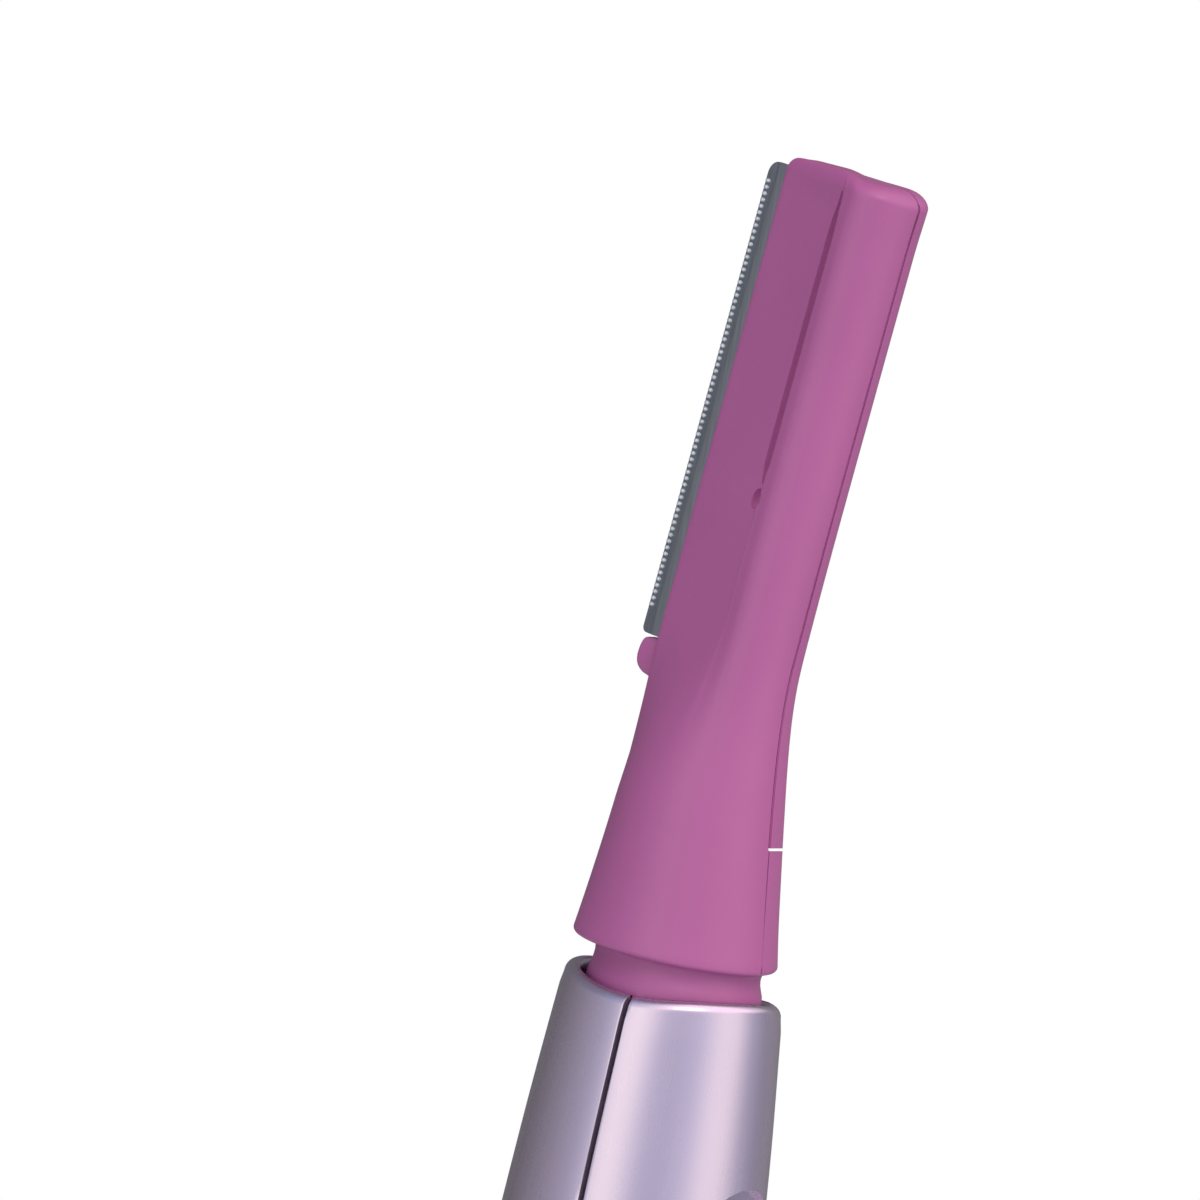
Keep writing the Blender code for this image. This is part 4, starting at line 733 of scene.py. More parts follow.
@dataclass
class Handle:
    """The metallic handle: two shells parted along the handle, and the battery sleeve below.

    The spans are shares of the rim's radius. The shares are (share of the height, share of max_radius),
    the recess is (low end, high end, half width, floor's x) and the stem's slot (half width, low end,
    high end).
    """

    max_radius: float = 8.9 * MM
    wall: float = 1.0 * MM
    rim_round: float = 0.8 * MM
    rim_bore: float = 5.9 * MM
    tilt_rise: float = 0.3 * MM
    saddle_rise: float = 0.3 * MM
    shoulder_rise: float = 0.20 * MM
    shoulder_span: Span = (0.15, 0.70)
    near_dip: float = 0.7 * MM
    near_span: Span = (-0.6, 0.1)
    dip_level: float = 0.70
    side_tilt: float = 0.05
    bend_length: float = 12 * MM
    parting_x: float = 1.04 * MM
    parting_gap: float = 0.36 * MM
    front_seam_round: float = 0.18 * MM
    rear_seam_round: float = 0.30 * MM
    sleeve_top: float = 48 * MM
    spigot_length: float = 6.0 * MM
    spigot_radius: float = 7.3 * MM
    spigot_bore: float = 6.55 * MM
    ring_groove_radius: float = 6.9 * MM
    ring_groove_width: float = 1.0 * MM
    seal_radius: float = 7.25 * MM
    seal_wire: float = 0.27 * MM
    recess: tuple[float, float, float, float] = (73 * MM, 93 * MM, 4.2 * MM, 7.2 * MM)
    pad_inner_x: float = 6.35 * MM
    pad_lap: float = 0.1 * MM
    stem_slot: tuple[float, float, float] = (1.0 * MM, 78.1 * MM, 87.9 * MM)
    foot_radius: float = 6.2 * MM
    foot_round: float = 1.1 * MM
    foot_ring: Span = (3.6 * MM, 4.2 * MM)
    foot_ring_depth: float = 0.4 * MM
    sleeve_bore: float = 6.5 * MM
    sleeve_floor: float = 2.2 * MM
    socket_radius: float = 7.6 * MM
    socket_depth: float = 7.0 * MM
    edge: float = 0.15 * MM
    shares: Shape = (
        (0.0, 0.80), (0.11, 0.87), (0.29, 0.945), (0.46, 0.987),
        (0.60, 1.0), (0.76, 0.983), (0.894, 0.888), (1.0, 0.772),
    )
    steps: int = 176
    shell_rows: int = 44
    bore_rows: int = 12
    sleeve_rows: int = 36

    def radius(self, z: float) -> float:
        """Outer radius at a height, on a smooth curve through the shares.

        Args:
            z: The height.

        Returns:
            The radius.
        """
        table, share, i = self.shares, z / RIM_Z, 0
        while i < len(table) - 2 and share > table[i + 1][0]:
            i += 1
        last = len(table) - 1
        before, start, end, after = (table[min(max(k, 0), last)] for k in (i - 1, i, i + 1, i + 2))
        width = end[0] - start[0]
        t = (share - start[0]) / width
        slope_in = (end[1] - before[1]) / (end[0] - before[0]) * width
        slope_out = (after[1] - start[1]) / (after[0] - start[0]) * width
        return cubic(t, start[1], end[1], slope_in, slope_out) * self.max_radius

    def bend(self, bm: Mesh) -> None:
        """Tilt and saddle the rim: higher toward the blade and toward both X sides.

        Args:
            bm: The mesh to bend.
        """
        for vert in bm.verts:
            share = smooth_share(vert.co.z, RIM_Z - self.bend_length, RIM_Z)
            across = vert.co.x / self.radius(RIM_Z)
            rise = self.saddle_rise * across**2 - self.tilt_rise * across
            rise += self.shoulder_rise * smooth_share(across, *self.shoulder_span)
            rise -= self.side_tilt * vert.co.y
            near = smooth_share(-vert.co.y / self.radius(RIM_Z), *self.near_span)
            rise += self.near_dip * (across**2 - self.dip_level) * near
            vert.co.z += share * rise

    def shell_profile(self) -> Outline:
        """Closed wall profile of both shells: up the outside, over the rim and down the inside."""
        base = self.sleeve_top + SEAM_GAP
        spigot_base = self.sleeve_top - self.spigot_length
        middle = spigot_base + self.spigot_length / 2
        half = self.ring_groove_width / 2
        points = [(self.spigot_radius, spigot_base), (self.spigot_radius, middle - half)]
        points += [(self.ring_groove_radius, middle - half), (self.ring_groove_radius, middle + half)]
        points += [(self.spigot_radius, middle + half), (self.spigot_radius, base)]
        rim_low, edge = RIM_Z - 2 * self.rim_round, self.edge
        points += [(self.radius(base) - edge, base), (self.radius(base), base + edge)]
        points += [(self.radius(z), z) for z in spread(base + 3 * edge, rim_low, self.shell_rows)]
        rim = self.radius(RIM_Z)
        points += arc((rim - self.rim_round, RIM_Z - self.rim_round), self.rim_round, 0, 90, 9)
        points += arc((self.rim_bore + 2 * edge, RIM_Z - 2 * edge), 2 * edge, 90, 180, 5)
        bore_z = RIM_Z - (self.radius(rim_low) - self.wall - self.rim_bore) - self.rim_round
        points += [(self.rim_bore, bore_z)]
        inner = spread(bore_z - self.rim_round, base + self.wall, self.bore_rows)
        points += [(self.radius(z) - self.wall, z) for z in inner]
        points += [(self.spigot_bore, base + self.wall), (self.spigot_bore, spigot_base)]
        return points

    def half(self, side: int) -> Mesh:
        """One shell, cut from the full turn at the parting plane.

        Args:
            side: 1 for the switch side, -1 for the blade side.

        Returns:
            The closed shell with its seam edges eased.
        """
        bm = spun(self.shell_profile(), self.steps, closed=True)
        self.bend(bm)
        filled = sliced(bm, (self.parting_x + side * self.parting_gap / 2, 0, 0), (side, 0, 0))
        seam = {e for f in filled for e in f.edges}
        rounded(bm, seam, self.front_seam_round if side > 0 else self.rear_seam_round, 3)
        bmesh.ops.recalc_face_normals(bm, faces=bm.faces)
        return bm

    def front(self) -> Mesh:
        """The switch side's shell with its recess, the recess's floor and the stem's slot."""
        base_z, top_z, half_width, floor_x = self.recess
        outer_x, lap = self.max_radius + REACH, self.pad_lap
        bm = worked(self.half(1), stadium(base_z, top_z, half_width, floor_x - REACH / 2, outer_x))
        floor = stadium(base_z - lap, top_z + lap, half_width + lap, self.pad_inner_x, floor_x)
        slot_half, slot_low, slot_high = self.stem_slot
        slot = block((0, -slot_half, slot_low), (outer_x, slot_half, slot_high))
        return merged_into(bm, [worked(floor, slot)])

    def sleeve_profile(self) -> Outline:
        """Open profile of the battery sleeve, from the axis over the foot and down the inside."""
        edge, (inner, outer), depth = self.edge, self.foot_ring, self.foot_ring_depth
        points = [(0, 0), (inner, 0), (inner, depth), (outer, depth), (outer, 0)]
        points += arc((self.foot_radius, self.foot_round), self.foot_round, -90, 0, 9)
        heights = spread(2 * self.foot_round, self.sleeve_top - 3 * edge, self.sleeve_rows)
        points += [(self.radius(z), z) for z in heights]
        points += [(self.radius(self.sleeve_top), self.sleeve_top - edge)]
        points += [(self.radius(self.sleeve_top) - edge, self.sleeve_top)]
        step = self.sleeve_top - self.socket_depth
        points += [(self.socket_radius, self.sleeve_top), (self.socket_radius, step)]
        points += [(self.sleeve_bore, step), (self.sleeve_bore, self.sleeve_floor + self.foot_round / 2)]
        points += [(self.sleeve_bore - self.foot_round / 2, self.sleeve_floor), (0, self.sleeve_floor)]
        return points

    def ring(self) -> Mesh:
        """The rubber ring that seals the battery sleeve."""
        middle = (self.seal_radius, self.sleeve_top - self.spigot_length / 2)
        return spun(arc(middle, self.seal_wire, 0, 330, 12), ROUND, closed=True)

    def build(self, palette: Palette) -> None:
        """Make the handle's pieces.

        Args:
            palette: The finishes.
        """
        metal = [palette.handle]
        piece("handle_front", self.front(), metal, Body.HANDLE, "handle_front_shell")
        piece("handle_rear", self.half(-1), metal, Body.HANDLE, "handle_rear_shell")
        sleeve = spun(self.sleeve_profile(), self.steps)
        piece("battery_sleeve", sleeve, metal, Body.COVER, "battery_cover")
        piece("sleeve_seal", self.ring(), [palette.rubber], Body.HANDLE, "seal_ring")


@dataclass
class SlideSwitch:
    """The slide switch's button with its grip ridges. Its stem is (half width, length, inner x)."""

    base_z: float = 73.4 * MM
    length: float = 15 * MM
    half_width: float = 3.8 * MM
    floor_x: float = 7.35 * MM
    proud: float = 0.4 * MM
    ridge_count: int = 5
    ridge_spacing: float = 1.8 * MM
    ridge_radius: float = 0.35 * MM
    stem: Point = (0.7 * MM, 5.0 * MM, 6.2 * MM)
    stem_lap: float = 0.3 * MM
    crown_sides: int = 160
    ridge_sides: int = 20

    def build(self, palette: Palette, handle: Handle) -> None:
        """Make the button.

        Args:
            palette: The finishes.
            handle: The handle that it slides in.
        """
        low, high, middle = self.base_z, self.base_z + self.length, self.base_z + self.length / 2
        face_x = handle.radius(middle) + self.proud
        body = stadium(low, high, self.half_width, self.floor_x, face_x + REACH)
        crown = rod((0, 0, low - REACH / 2), (0, 0, high + REACH / 2), face_x, self.crown_sides)
        button = worked(body, crown, Cut.COMMON)
        for i in range(self.ridge_count):
            z = middle + (i - (self.ridge_count - 1) / 2) * self.ridge_spacing
            start, end = (face_x, -self.half_width / 2, z), (face_x, self.half_width / 2, z)
            button = worked(button, rod(start, end, self.ridge_radius, self.ridge_sides))
        half, length, inner_x = self.stem
        outer_x = self.floor_x + self.stem_lap
        stem = block((inner_x, -half, middle - length / 2), (outer_x, half, middle + length / 2))
        merged_into(button, [stem])
        piece("switch_button", button, [palette.head], Body.SWITCH, "switch_slider")


@dataclass
class Head:
    """The plastic head: a near half with the round base and neck, and a far half that closes it.

    Heights are above the handle's rim. The neck is (height, radius) and the slot (depth, height) in
    millimetres. The lip is (share of its width, share of its step), the barrel (outer radius, inner
    radius, depth, window), and the order runs are (first, last, count) from the tip to the back.
    """

    flange_height: float = 2.4 * MM
    flange_radius: float = 6.50 * MM
    flange_round: float = 0.32 * MM
    flange_tilt: float = 0.035
    tilt_start: float = 0.2 * MM
    tilt_fade: Span = (4 * MM, 9 * MM)
    neck: Shape = (
        (-0.60, 5.52), (-0.10, 5.53), (0.35, 5.48), (0.75, 5.36), (1.15, 5.26), (1.55, 5.22), (1.90, 5.24),
        (2.15, 5.32), (2.30, 5.42), (2.38, 5.56),
    )
    bore: float = 4.3 * MM
    bore_reach: float = 1.2 * MM
    cone_end_height: float = 20.6 * MM
    cone_end_radius: float = 4.55 * MM
    cone_power: float = 1.5
    offset_x: float = -0.39 * MM
    height: float = 51.8 * MM
    back_x: float = 1.95 * MM
    front_x: float = -7.33 * MM
    back_blend: float = 0.5 * MM
    blend_start: float = 11 * MM
    blend_end: float = 24 * MM
    front_half: float = 1.1 * MM
    front_round: float = 0.3 * MM
    flat_end: float = 3.95 * MM
    flat_half: float = 2.68 * MM
    flush_half: float = 2.87 * MM
    let_in: Span = (29.5 * MM, 32.5 * MM)
    let_out: Span = (49.4 * MM, 51.2 * MM)
    lip_width: float = 0.32 * MM
    lip_half: float = 2.98 * MM
    lip_slope: float = 0.24
    lip: Shape = ((0.40, 0.0), (0.60, 0.35), (0.75, 0.72), (0.88, 0.92))
    back_half: float = 3.2 * MM
    back_length: float = 2.75 * MM
    groove_half: float = 0.38 * MM
    groove_depth: float = 0.53 * MM
    groove_shift: float = 0.11 * MM
    groove_low: float = 31.9 * MM
    groove_high: float = 50.3 * MM
    groove_reach: float = 0.6 * MM
    groove_swell: Span = (-0.03, 0.07)
    groove_fade: Span = (0.87, 1.04)
    groove_stops: tuple[float, ...] = (
        0.0, 0.01, 0.03, 0.06, 0.12, 0.30, 0.55, 0.78, 0.84, 0.90, 0.95, 0.98, 1.0,
    )
    pocket_height: float = 30.9 * MM
    pocket_half: Point = (0.42 * MM, 0.55 * MM, 0.66 * MM)
    pocket_steps: tuple[int, int] = (28, 16)
    top_round: float = 0.95 * MM
    top_inset: Point = (0.65 * MM, 1.35 * MM, 1.10 * MM)
    top_slope: float = 0.075
    top_flat: float = 1.0 * MM
    top_step: float = 0.24 * MM
    top_step_start: float = -0.2 * MM
    top_step_run: Span = (-0.3 * MM, 1.6 * MM)
    top_step_skew: float = 0.5
    top_corner: float = 1.7 * MM
    top_corner_fall: float = 0.25 * MM
    wall: float = 0.9 * MM
    slope_reach: float = 5.0 * MM
    split: float = 9.75 * MM
    split_lean: float = 0.212
    split_gap: float = 0.17 * MM
    seam_gap: float = 0.10 * MM
    seam_half: float = 0.13 * MM
    seam_end: float = 50.4 * MM
    parting_depth: float = 0.10 * MM
    parting_half: float = 0.06 * MM
    parting_drop: float = 0.5 * MM
    slot_half: float = 0.8 * MM
    slot: Shape = (
        (4.2, 10.95), (4.2, 50.65), (2.5, 50.65), (2.5, 54), (-2, 54), (-2, 18.45), (2.95, 18.45),
        (2.95, 10.95),
    )
    barrel: tuple[float, float, float, float] = (4.35 * MM, 3.45 * MM, 6.0 * MM, 3.1 * MM)
    barrel_rise: float = 0.2 * MM
    section_rows: int = 84
    inner_rows: int = 30
    section_gap: Span = (0.35 * MM, 0.1 * MM)
    tip_angle: float = 108
    order_start: float = 0.7
    order_end: float = 16.0
    order_runs: tuple[tuple[float, float, int], ...] = (
        (1, 1.8, 5), (2, 7, 14), (7.3, 8.2, 4), (8.5, 10.6, 14), (10.6, 16.0, 30),
    )

    def cone(self, h: float) -> float:
        """Radius of the round base at a height."""
        run, spare = self.cone_end_height - self.flange_height, self.flange_radius - self.cone_end_radius
        share = min(max((h - self.flange_height) / run, 0), 1)
        return self.cone_end_radius + spare * (1 - share) ** self.cone_power

    def front(self, h: float) -> float:
        """Front edge at a height."""
        return self.front_x + LEAN * h

    def back(self, h: float) -> float:
        """Back edge at a height: the cone's side eased into the leaning back."""
        cone, lean = self.offset_x + self.cone(h), self.back_x + LEAN * h
        return (cone + lean + math.hypot(cone - lean, self.back_blend)) / 2

    def panel_half(self, h: float) -> float:
        """Half thickness at the flat panel's back edge: it is let in above the pocket, and flush below."""
        share = smooth_share(h, *self.let_in) * (1 - smooth_share(h, *self.let_out))
        return self.flush_half + (self.flat_half - self.flush_half) * share

    def knife(self, h: float) -> list[tuple[float, float, float]]:
        """Half of the upper section, front to back.

        Args:
            h: Height above the rim.

        Returns:
            Points (x, y, order), where the order, up to order_end, tells how far round a circle a
            point belongs.
        """
        front, back = self.front(h), self.back(h)
        crown, flat = back - self.back_length, back - self.flat_end
        slope = (self.panel_half(h) - self.front_half) / (flat - front)

        def flat_y(x: float) -> float:
            """Height of the flat face over the middle plane."""
            return self.front_half + slope * (x - front)

        r = self.front_round
        tips, flats, lips, crowns, backs = (spread(*orders) for orders in self.order_runs)
        points = [(front, 0.0, 0.0), (front, flat_y(front + r) - 3 * r, self.order_start)]
        tip = arc((front + r, flat_y(front + r) - r), r, 180, self.tip_angle, len(tips))
        points += [(x, y, order) for (x, y), order in zip(tip, tips)]
        points += [(x, flat_y(x), order) for x, order in zip(spread(front + 2 * r, flat, len(flats)), flats)]
        lip_x = flat + self.lip_width
        foot_y = flat_y(flat + self.lip_width * self.lip[0][0])
        step = self.lip_half - foot_y
        for (along, up), order in zip(self.lip, lips):
            points.append((flat + self.lip_width * along, foot_y + step * up, order))
        run = crown - lip_x
        for t, order in zip(spread(0, 1, len(crowns))[:-1], crowns):
            y = cubic(t, self.lip_half, self.back_half, self.lip_slope * run)
            points.append((lip_x + run * t, y, order))
        for turn, order in zip(spread(math.pi / 2, 0, len(backs)), backs):
            x, y = crown + self.back_length * math.cos(turn), self.back_half * math.sin(turn)
            points.append((x, y, order))
        return points

    def around(self, order: float, radius: float, offset: float) -> tuple[float, float]:
        """Where a point of an order lies on a circle."""
        turn = math.pi * (1 - order / self.order_end)
        return offset + radius * math.cos(turn), radius * math.sin(turn)

    def section(self, h: float, inset: Point = (0.0, 0.0, 0.0), rise: float = 0.0) -> list[Point]:
        """The whole ring at a height: a circle low down that eases into the knife section.

        Args:
            h: Height above the rim at which the section is taken.
            inset: How far the ring is drawn in at the front, at the back and at each side.
            rise: How far it is raised over its height.

        Returns:
            The ring's points.
        """
        share = smooth_share(h, self.blend_start, self.blend_end)
        radius = self.cone(h)
        half = []
        for x, y, order in self.knife(h):
            round_x, round_y = self.around(order, radius, self.offset_x)
            half.append((round_x + (x - round_x) * share, round_y + (y - round_y) * share))
        return self.whole(half, h + rise, inset)

    def whole(self, half: Outline, h: float, inset: Point = (0.0, 0.0, 0.0)) -> list[Point]:
        """Mirror half a section into a ring.

        Args:
            half: Its outline from front to back.
            h: Height above the rim.
            inset: How far the ring is drawn in at the front, at the back and at each side.

        Returns:
            The ring's points.
        """
        half = [(half[0][0], 0.0), *half[1:-1], (half[-1][0], 0.0)]
        ring = half + [(x, -y) for x, y in reversed(half[1:-1])]
        front, length = half[0][0], half[-1][0] - half[0][0]
        reach = max(y for _, y in half)
        along, aside = (length - inset[0] - inset[1]) / length, (reach - inset[2]) / reach
        return [(front + inset[0] + (x - front) * along, y * aside, RIM_Z + h) for x, y in ring]

    def circle(self, radius: float, offset: float, h: float) -> list[Point]:
        """A round ring with the same number of points."""
        return self.whole([self.around(order, radius, offset) for _, _, order in self.knife(h)], h)

    def outside(self) -> Mesh:
        """The head's outer solid from the neck's lower edge to the rounded top."""
        rings = [self.circle(r * MM, 0, h * MM) for h, r in self.neck]
        low = self.flange_height + self.flange_round
        corner = arc((self.cone(low) - self.flange_round, low), self.flange_round, -90, 0, 7)
        rings += [self.circle(r, self.offset_x, h) for r, h in corner]
        top, (low_gap, high_gap) = self.height - self.top_round, self.section_gap
        rings += [self.section(h) for h in spread(low + low_gap, top - high_gap, self.section_rows)]
        for angle in spread(0, 90, 9):
            t = math.radians(angle)
            drawn = 1 - math.cos(t)
            inset = tuple(reach * drawn for reach in self.top_inset)
            rings.append(self.section(top, inset, self.top_round * math.sin(t)))
        bm = ring_loft(rings, cap_low=True, cap_high=True)
        for vert in bm.verts:
            share = smooth_share(vert.co.z, RIM_Z + self.height - self.slope_reach, RIM_Z + self.height)
            vert.co.z -= share * self.top_fall(vert.co.x, vert.co.y)
            h = vert.co.z - RIM_Z
            tilted = smooth_share(h, self.tilt_start, self.flange_height)
            tilted *= 1 - smooth_share(h, *self.tilt_fade)
            vert.co.z -= tilted * self.flange_tilt * (vert.co.x + self.flange_radius)
        return bm

    def top_fall(self, x: float, y: float) -> float:
        """How far the top lies below its highest point.

        Args:
            x: Place along the head.
            y: Place across it.

        Returns:
            The fall: it slopes to the back, with a soft step in line with the groove.
        """
        back = self.back(self.height)
        behind = x - self.front(self.height) - self.top_flat
        past = x + (y + self.flat_half) * self.top_step_skew - (back - self.flat_end + self.top_step_start)
        corner = max(x - back + self.top_corner, 0) / self.top_corner
        fall = max(behind, 0) * self.top_slope + smooth_share(past, *self.top_step_run) * self.top_step
        return fall + corner**2 * self.top_corner_fall

    def inside(self) -> Mesh:
        """The hollow, open at the neck."""
        rings = [self.circle(self.bore, 0, h) for h in (-self.bore_reach, self.flange_height)]
        low, high = self.flange_height + self.bore_reach, self.height - self.top_round - self.wall / 2
        rings += [self.section(h, (self.wall,) * 3) for h in spread(low, high, self.inner_rows)]
        return ring_loft(rings, cap_low=True, cap_high=True)

    def flat_frame(self, h: float, side: int) -> tuple[Vector, Vector, Vector]:
        """Where the groove runs at a height, with directions across the flat face and out of it.

        Args:
            h: Height above the rim.
            side: -1 for the near face, 1 for the far one.

        Returns:
            The place on the face, the direction across and the direction outward.
        """
        front, flat = self.front(h), self.back(h) - self.flat_end
        half = self.panel_half(h)
        slope = (half - self.front_half) / (flat - front)
        across = Vector((1, side * slope, 0)).normalized()
        outward = Vector((-slope, side, 0)).normalized()
        return Vector((flat, side * half, RIM_Z + h)), across, outward

    def groove(self, side: int) -> Mesh:
        """The tool that cuts the groove: it swells from a point and ends bluntly at the bottom."""
        rings = []
        for share in self.groove_stops:
            h = self.groove_low + (self.groove_high - self.groove_low) * share
            place, across, outward = self.flat_frame(h, side)
            swell = smooth_share(share, *self.groove_swell) * (1 - smooth_share(share, *self.groove_fade))
            half, depth = self.groove_half * swell, self.groove_depth * swell
            place += across * self.groove_shift
            ring = [place + across * half * end + outward * self.groove_reach for end in (-1, 1)]
            for turn in spread(0, math.pi, 9):
                ring.append(place + across * half * math.cos(turn) - outward * depth * math.sin(turn))
            rings.append([tuple(point) for point in ring])
        return ring_loft(rings, cap_low=True, cap_high=True)

    def pocket(self, side: int) -> Mesh:
        """The tool that cuts the rounded pocket below the groove."""
        place, across, outward = self.flat_frame(self.pocket_height, side)
        up = Vector((LEAN, 0, 1)).normalized()
        turn = Matrix((across, outward, up)).transposed().to_4x4()
        bm = bmesh.new()
        matrix = Matrix.Translation(place) @ turn @ Matrix.Diagonal((*self.pocket_half, 1.0))
        turns, rows = self.pocket_steps
        bmesh.ops.create_uvsphere(bm, u_segments=turns, v_segments=rows, radius=1.0, matrix=matrix)
        bmesh.ops.recalc_face_normals(bm, faces=bm.faces)
        return bm

    def back_cut(self, low: float, high: float, half_width: float) -> Mesh:
        """The tool that cuts a shallow line down the back.

        Args:
            low: Its lower end above the rim.
            high: Its upper end.
            half_width: Half its width.

        Returns:
            The closed tool.
        """
        heights = spread(low, high, self.inner_rows)
        lowest = self.flange_height + self.flange_round
        inner = [(self.back(max(h, lowest)) - self.parting_depth, RIM_Z + h) for h in heights]
        outer_x = self.back(high) + 2 * REACH
        outer = [(outer_x, RIM_Z + high), (outer_x, RIM_Z + low)]
        return prism(inner + outer, -half_width, half_width)

    def shell(self, near: bool) -> Mesh:
        """One half of the head with its wall.

        Args:
            near: True for the half with the base.

        Returns:
            The closed shell.
        """
        side = -1 if near else 1
        tools = [self.inside(), self.blade_slot(), self.groove(side), self.pocket(side)]
        if near:
            low = self.flange_height - self.parting_drop
            tools.append(self.back_cut(low, self.split, self.parting_half))
        tools.append(self.back_cut(self.split, self.seam_end, self.seam_half))
        walled = self.outside()
        for tool in tools:
            walled = worked(walled, tool)
        reach = 10 * REACH
        region = block(
            (-reach, side * self.seam_gap / 2, RIM_Z + self.split + side * self.split_gap / 2),
            (reach, reach, RIM_Z + self.height + reach),
        )
        for vert in region.verts:
            if vert.co.z < RIM_Z + self.height:
                vert.co.z += (vert.co.x - self.back(self.split)) * self.split_lean
        half = worked(walled, region, Cut.AWAY if near else Cut.COMMON)
        bmesh.ops.recalc_face_normals(half, faces=half.faces)
        return half

    def blade_slot(self) -> Mesh:
        """The blades' slot, open at the front from the nub upwards."""
        points = [(TIP_X + LEAN * h * MM + depth * MM, RIM_Z + h * MM) for depth, h in self.slot]
        return prism(points, -self.slot_half, self.slot_half)

    def barrel_walls(self) -> list[Mesh]:
        """The two curved walls below the neck that the pivot pins carry."""
        outer, inner, depth, window = self.barrel
        low, top = RIM_Z - depth, RIM_Z + self.barrel_rise
        walls = []
        for side in (-1, 1):
            bm = spun([(outer, low), (outer, top), (inner, top), (inner, low)], ROUND, closed=True)
            sliced(bm, (0, side * window, 0), (0, side, 0))
            bmesh.ops.recalc_face_normals(bm, faces=bm.faces)
            walls.append(bm)
        return walls

    def build(self, palette: Palette) -> None:
        """Make both halves.

        Args:
            palette: The finishes.
        """
        near = merged_into(self.shell(True), self.barrel_walls())
        piece("head_near", near, [palette.head], Body.HEAD, "head_shell")
        piece("head_far", self.shell(False), [palette.head], Body.HEAD, "head_cover")


@dataclass
class BladeUnit:
    """The fixed guard blade with its round-tipped teeth, and the carrier with its nub.

    Shapes are made in the blade's own frame: X is the depth behind the tips, Z runs up the blade.
    Only the nub is in the head's place, as (x, height above the rim) in millimetres. The steps are
    (depth where one ends, how far it is set back).
    """

    base_height: float = 21.2 * MM
    length: float = 30.38 * MM
    plate_front: float = 0.03 * MM
    plate_near: float = -0.60 * MM
    plate_far: float = -0.32 * MM
    plate_back: float = 2.2 * MM
    scores: Span = (0.74 * MM, 0.84 * MM)
    steps: tuple[Span, ...] = ((0.3 * MM, 0.17 * MM), (0.80 * MM, 0.04 * MM))
    tongue: tuple[Point, Point] = (
        (2.1 * MM, -0.58 * MM, 0.5 * MM), (5.2 * MM, -0.32 * MM, 28.8 * MM),
    )
    bar: tuple[Point, Point] = ((4.5 * MM, 0.35 * MM, -2.0 * MM), (6.8 * MM, 0.78 * MM, 28.8 * MM))
    bridge: tuple[Point, Point] = ((0.9 * MM, 0.35 * MM, -1.9 * MM), (4.6 * MM, 0.50 * MM, -1.0 * MM))
    top_corner: float = 0.85 * MM
    bottom_corner: float = 0.35 * MM
    pitch: float = 0.407 * MM
    tooth_count: int = 68
    first_tooth: float = 1.80 * MM
    bead: Point = (0.21 * MM, 0.20 * MM, 0.150 * MM)
    bead_depth: float = 0.225 * MM
    bead_middle: float = -0.42 * MM
    bead_steps: tuple[int, int] = (10, 6)
    land_start: float = 0.8 * MM
    nub_half: float = 0.5 * MM
    nub_round: float = 0.13 * MM
    nub_sharp: float = math.radians(70)
    nub: Shape = (
        (-4.30, 20.98), (-6.05, 20.92), (-6.22, 20.87), (-6.34, 20.77), (-6.43, 20.62), (-6.53, 20.35),
        (-6.60, 20.05), (-6.64, 19.75), (-6.63, 19.48), (-6.57, 19.24), (-6.45, 19.03), (-6.26, 18.84),
        (-6.00, 18.67), (-5.60, 18.53), (-5.10, 18.46), (-4.50, 18.50),
    )

    def place(self, bm: Mesh) -> Mesh:
        """Turn a mesh from the blade's own frame into its place.

        Args:
            bm: The mesh.

        Returns:
            The same mesh.
        """
        turn = Matrix.Rotation(math.atan(LEAN), 4, "Y")
        spot = (TIP_X + LEAN * self.base_height, 0, RIM_Z + self.base_height)
        bmesh.ops.transform(bm, matrix=Matrix.Translation(spot) @ turn, verts=bm.verts)
        return bm

    def plate(self) -> Mesh:
        """The guard's plate: thin at the teeth, with a raised land and a step beside the shell."""
        bm = block((self.plate_front, self.plate_near, 0), (self.plate_back, self.plate_far, self.length))
        for depth in self.scores:
            sliced(bm, (depth, 0, 0), (1, 0, 0), drop=False)
        for vert in bm.verts:
            if vert.co.y < (self.plate_near + self.plate_far) / 2:
                vert.co.y += next((drop for end, drop in self.steps if vert.co.x < end), 0.0)
        for end, size, segments in ((self.length, self.top_corner, 8), (0.0, self.bottom_corner, 5)):
            spot = Vector((self.plate_front, 0, end))
            corner = [e for e in bm.edges if all((v.co - spot).xz.length < CLOSE for v in e.verts)]
            rounded(bm, corner, size, segments, clamp=False)
        return merged_into(bm, [block(*self.tongue)])

    def guard(self) -> Mesh:
        """The plate with a row of round tips; the tips have the second finish, which paints their highlight,
        and the land the third, a lighter copy of the steel that paints light on it.
        """
        bm = self.plate()
        for face in bm.faces:
            # Faces behind land_start get the land's finish, whose lighter tone is painted light.
            face.material_index = 2 if face.calc_center_median().x > self.land_start else 0
        turns, rows = self.bead_steps
        for i in range(self.tooth_count):
            spot = (self.bead_depth, self.bead_middle, self.first_tooth + i * self.pitch)
            matrix = Matrix.Translation(spot) @ Matrix.Diagonal((*self.bead, 1.0))
            made = bmesh.ops.create_uvsphere(
                bm, u_segments=turns, v_segments=rows, radius=1.0, matrix=matrix
            )
            for face in {f for v in made["verts"] for f in v.link_faces}:
                # The tips' finish paints their highlight.
                face.material_index = 1
        bmesh.ops.recalc_face_normals(bm, faces=bm.faces)
        return self.place(bm)

    def carrier(self) -> Mesh:
        """The carrier bar with the half-round nub below the blade."""
        outline = [(x * MM, RIM_Z + h * MM) for x, h in self.nub]
        nub = prism(outline, -self.nub_half, self.nub_half)
        sharp = [e for e in nub.edges if e.calc_face_angle(0) > self.nub_sharp]
        rounded(nub, sharp, self.nub_round, 3)
        return merged_into(nub, [self.place(block(*ends)) for ends in (self.bar, self.bridge)])

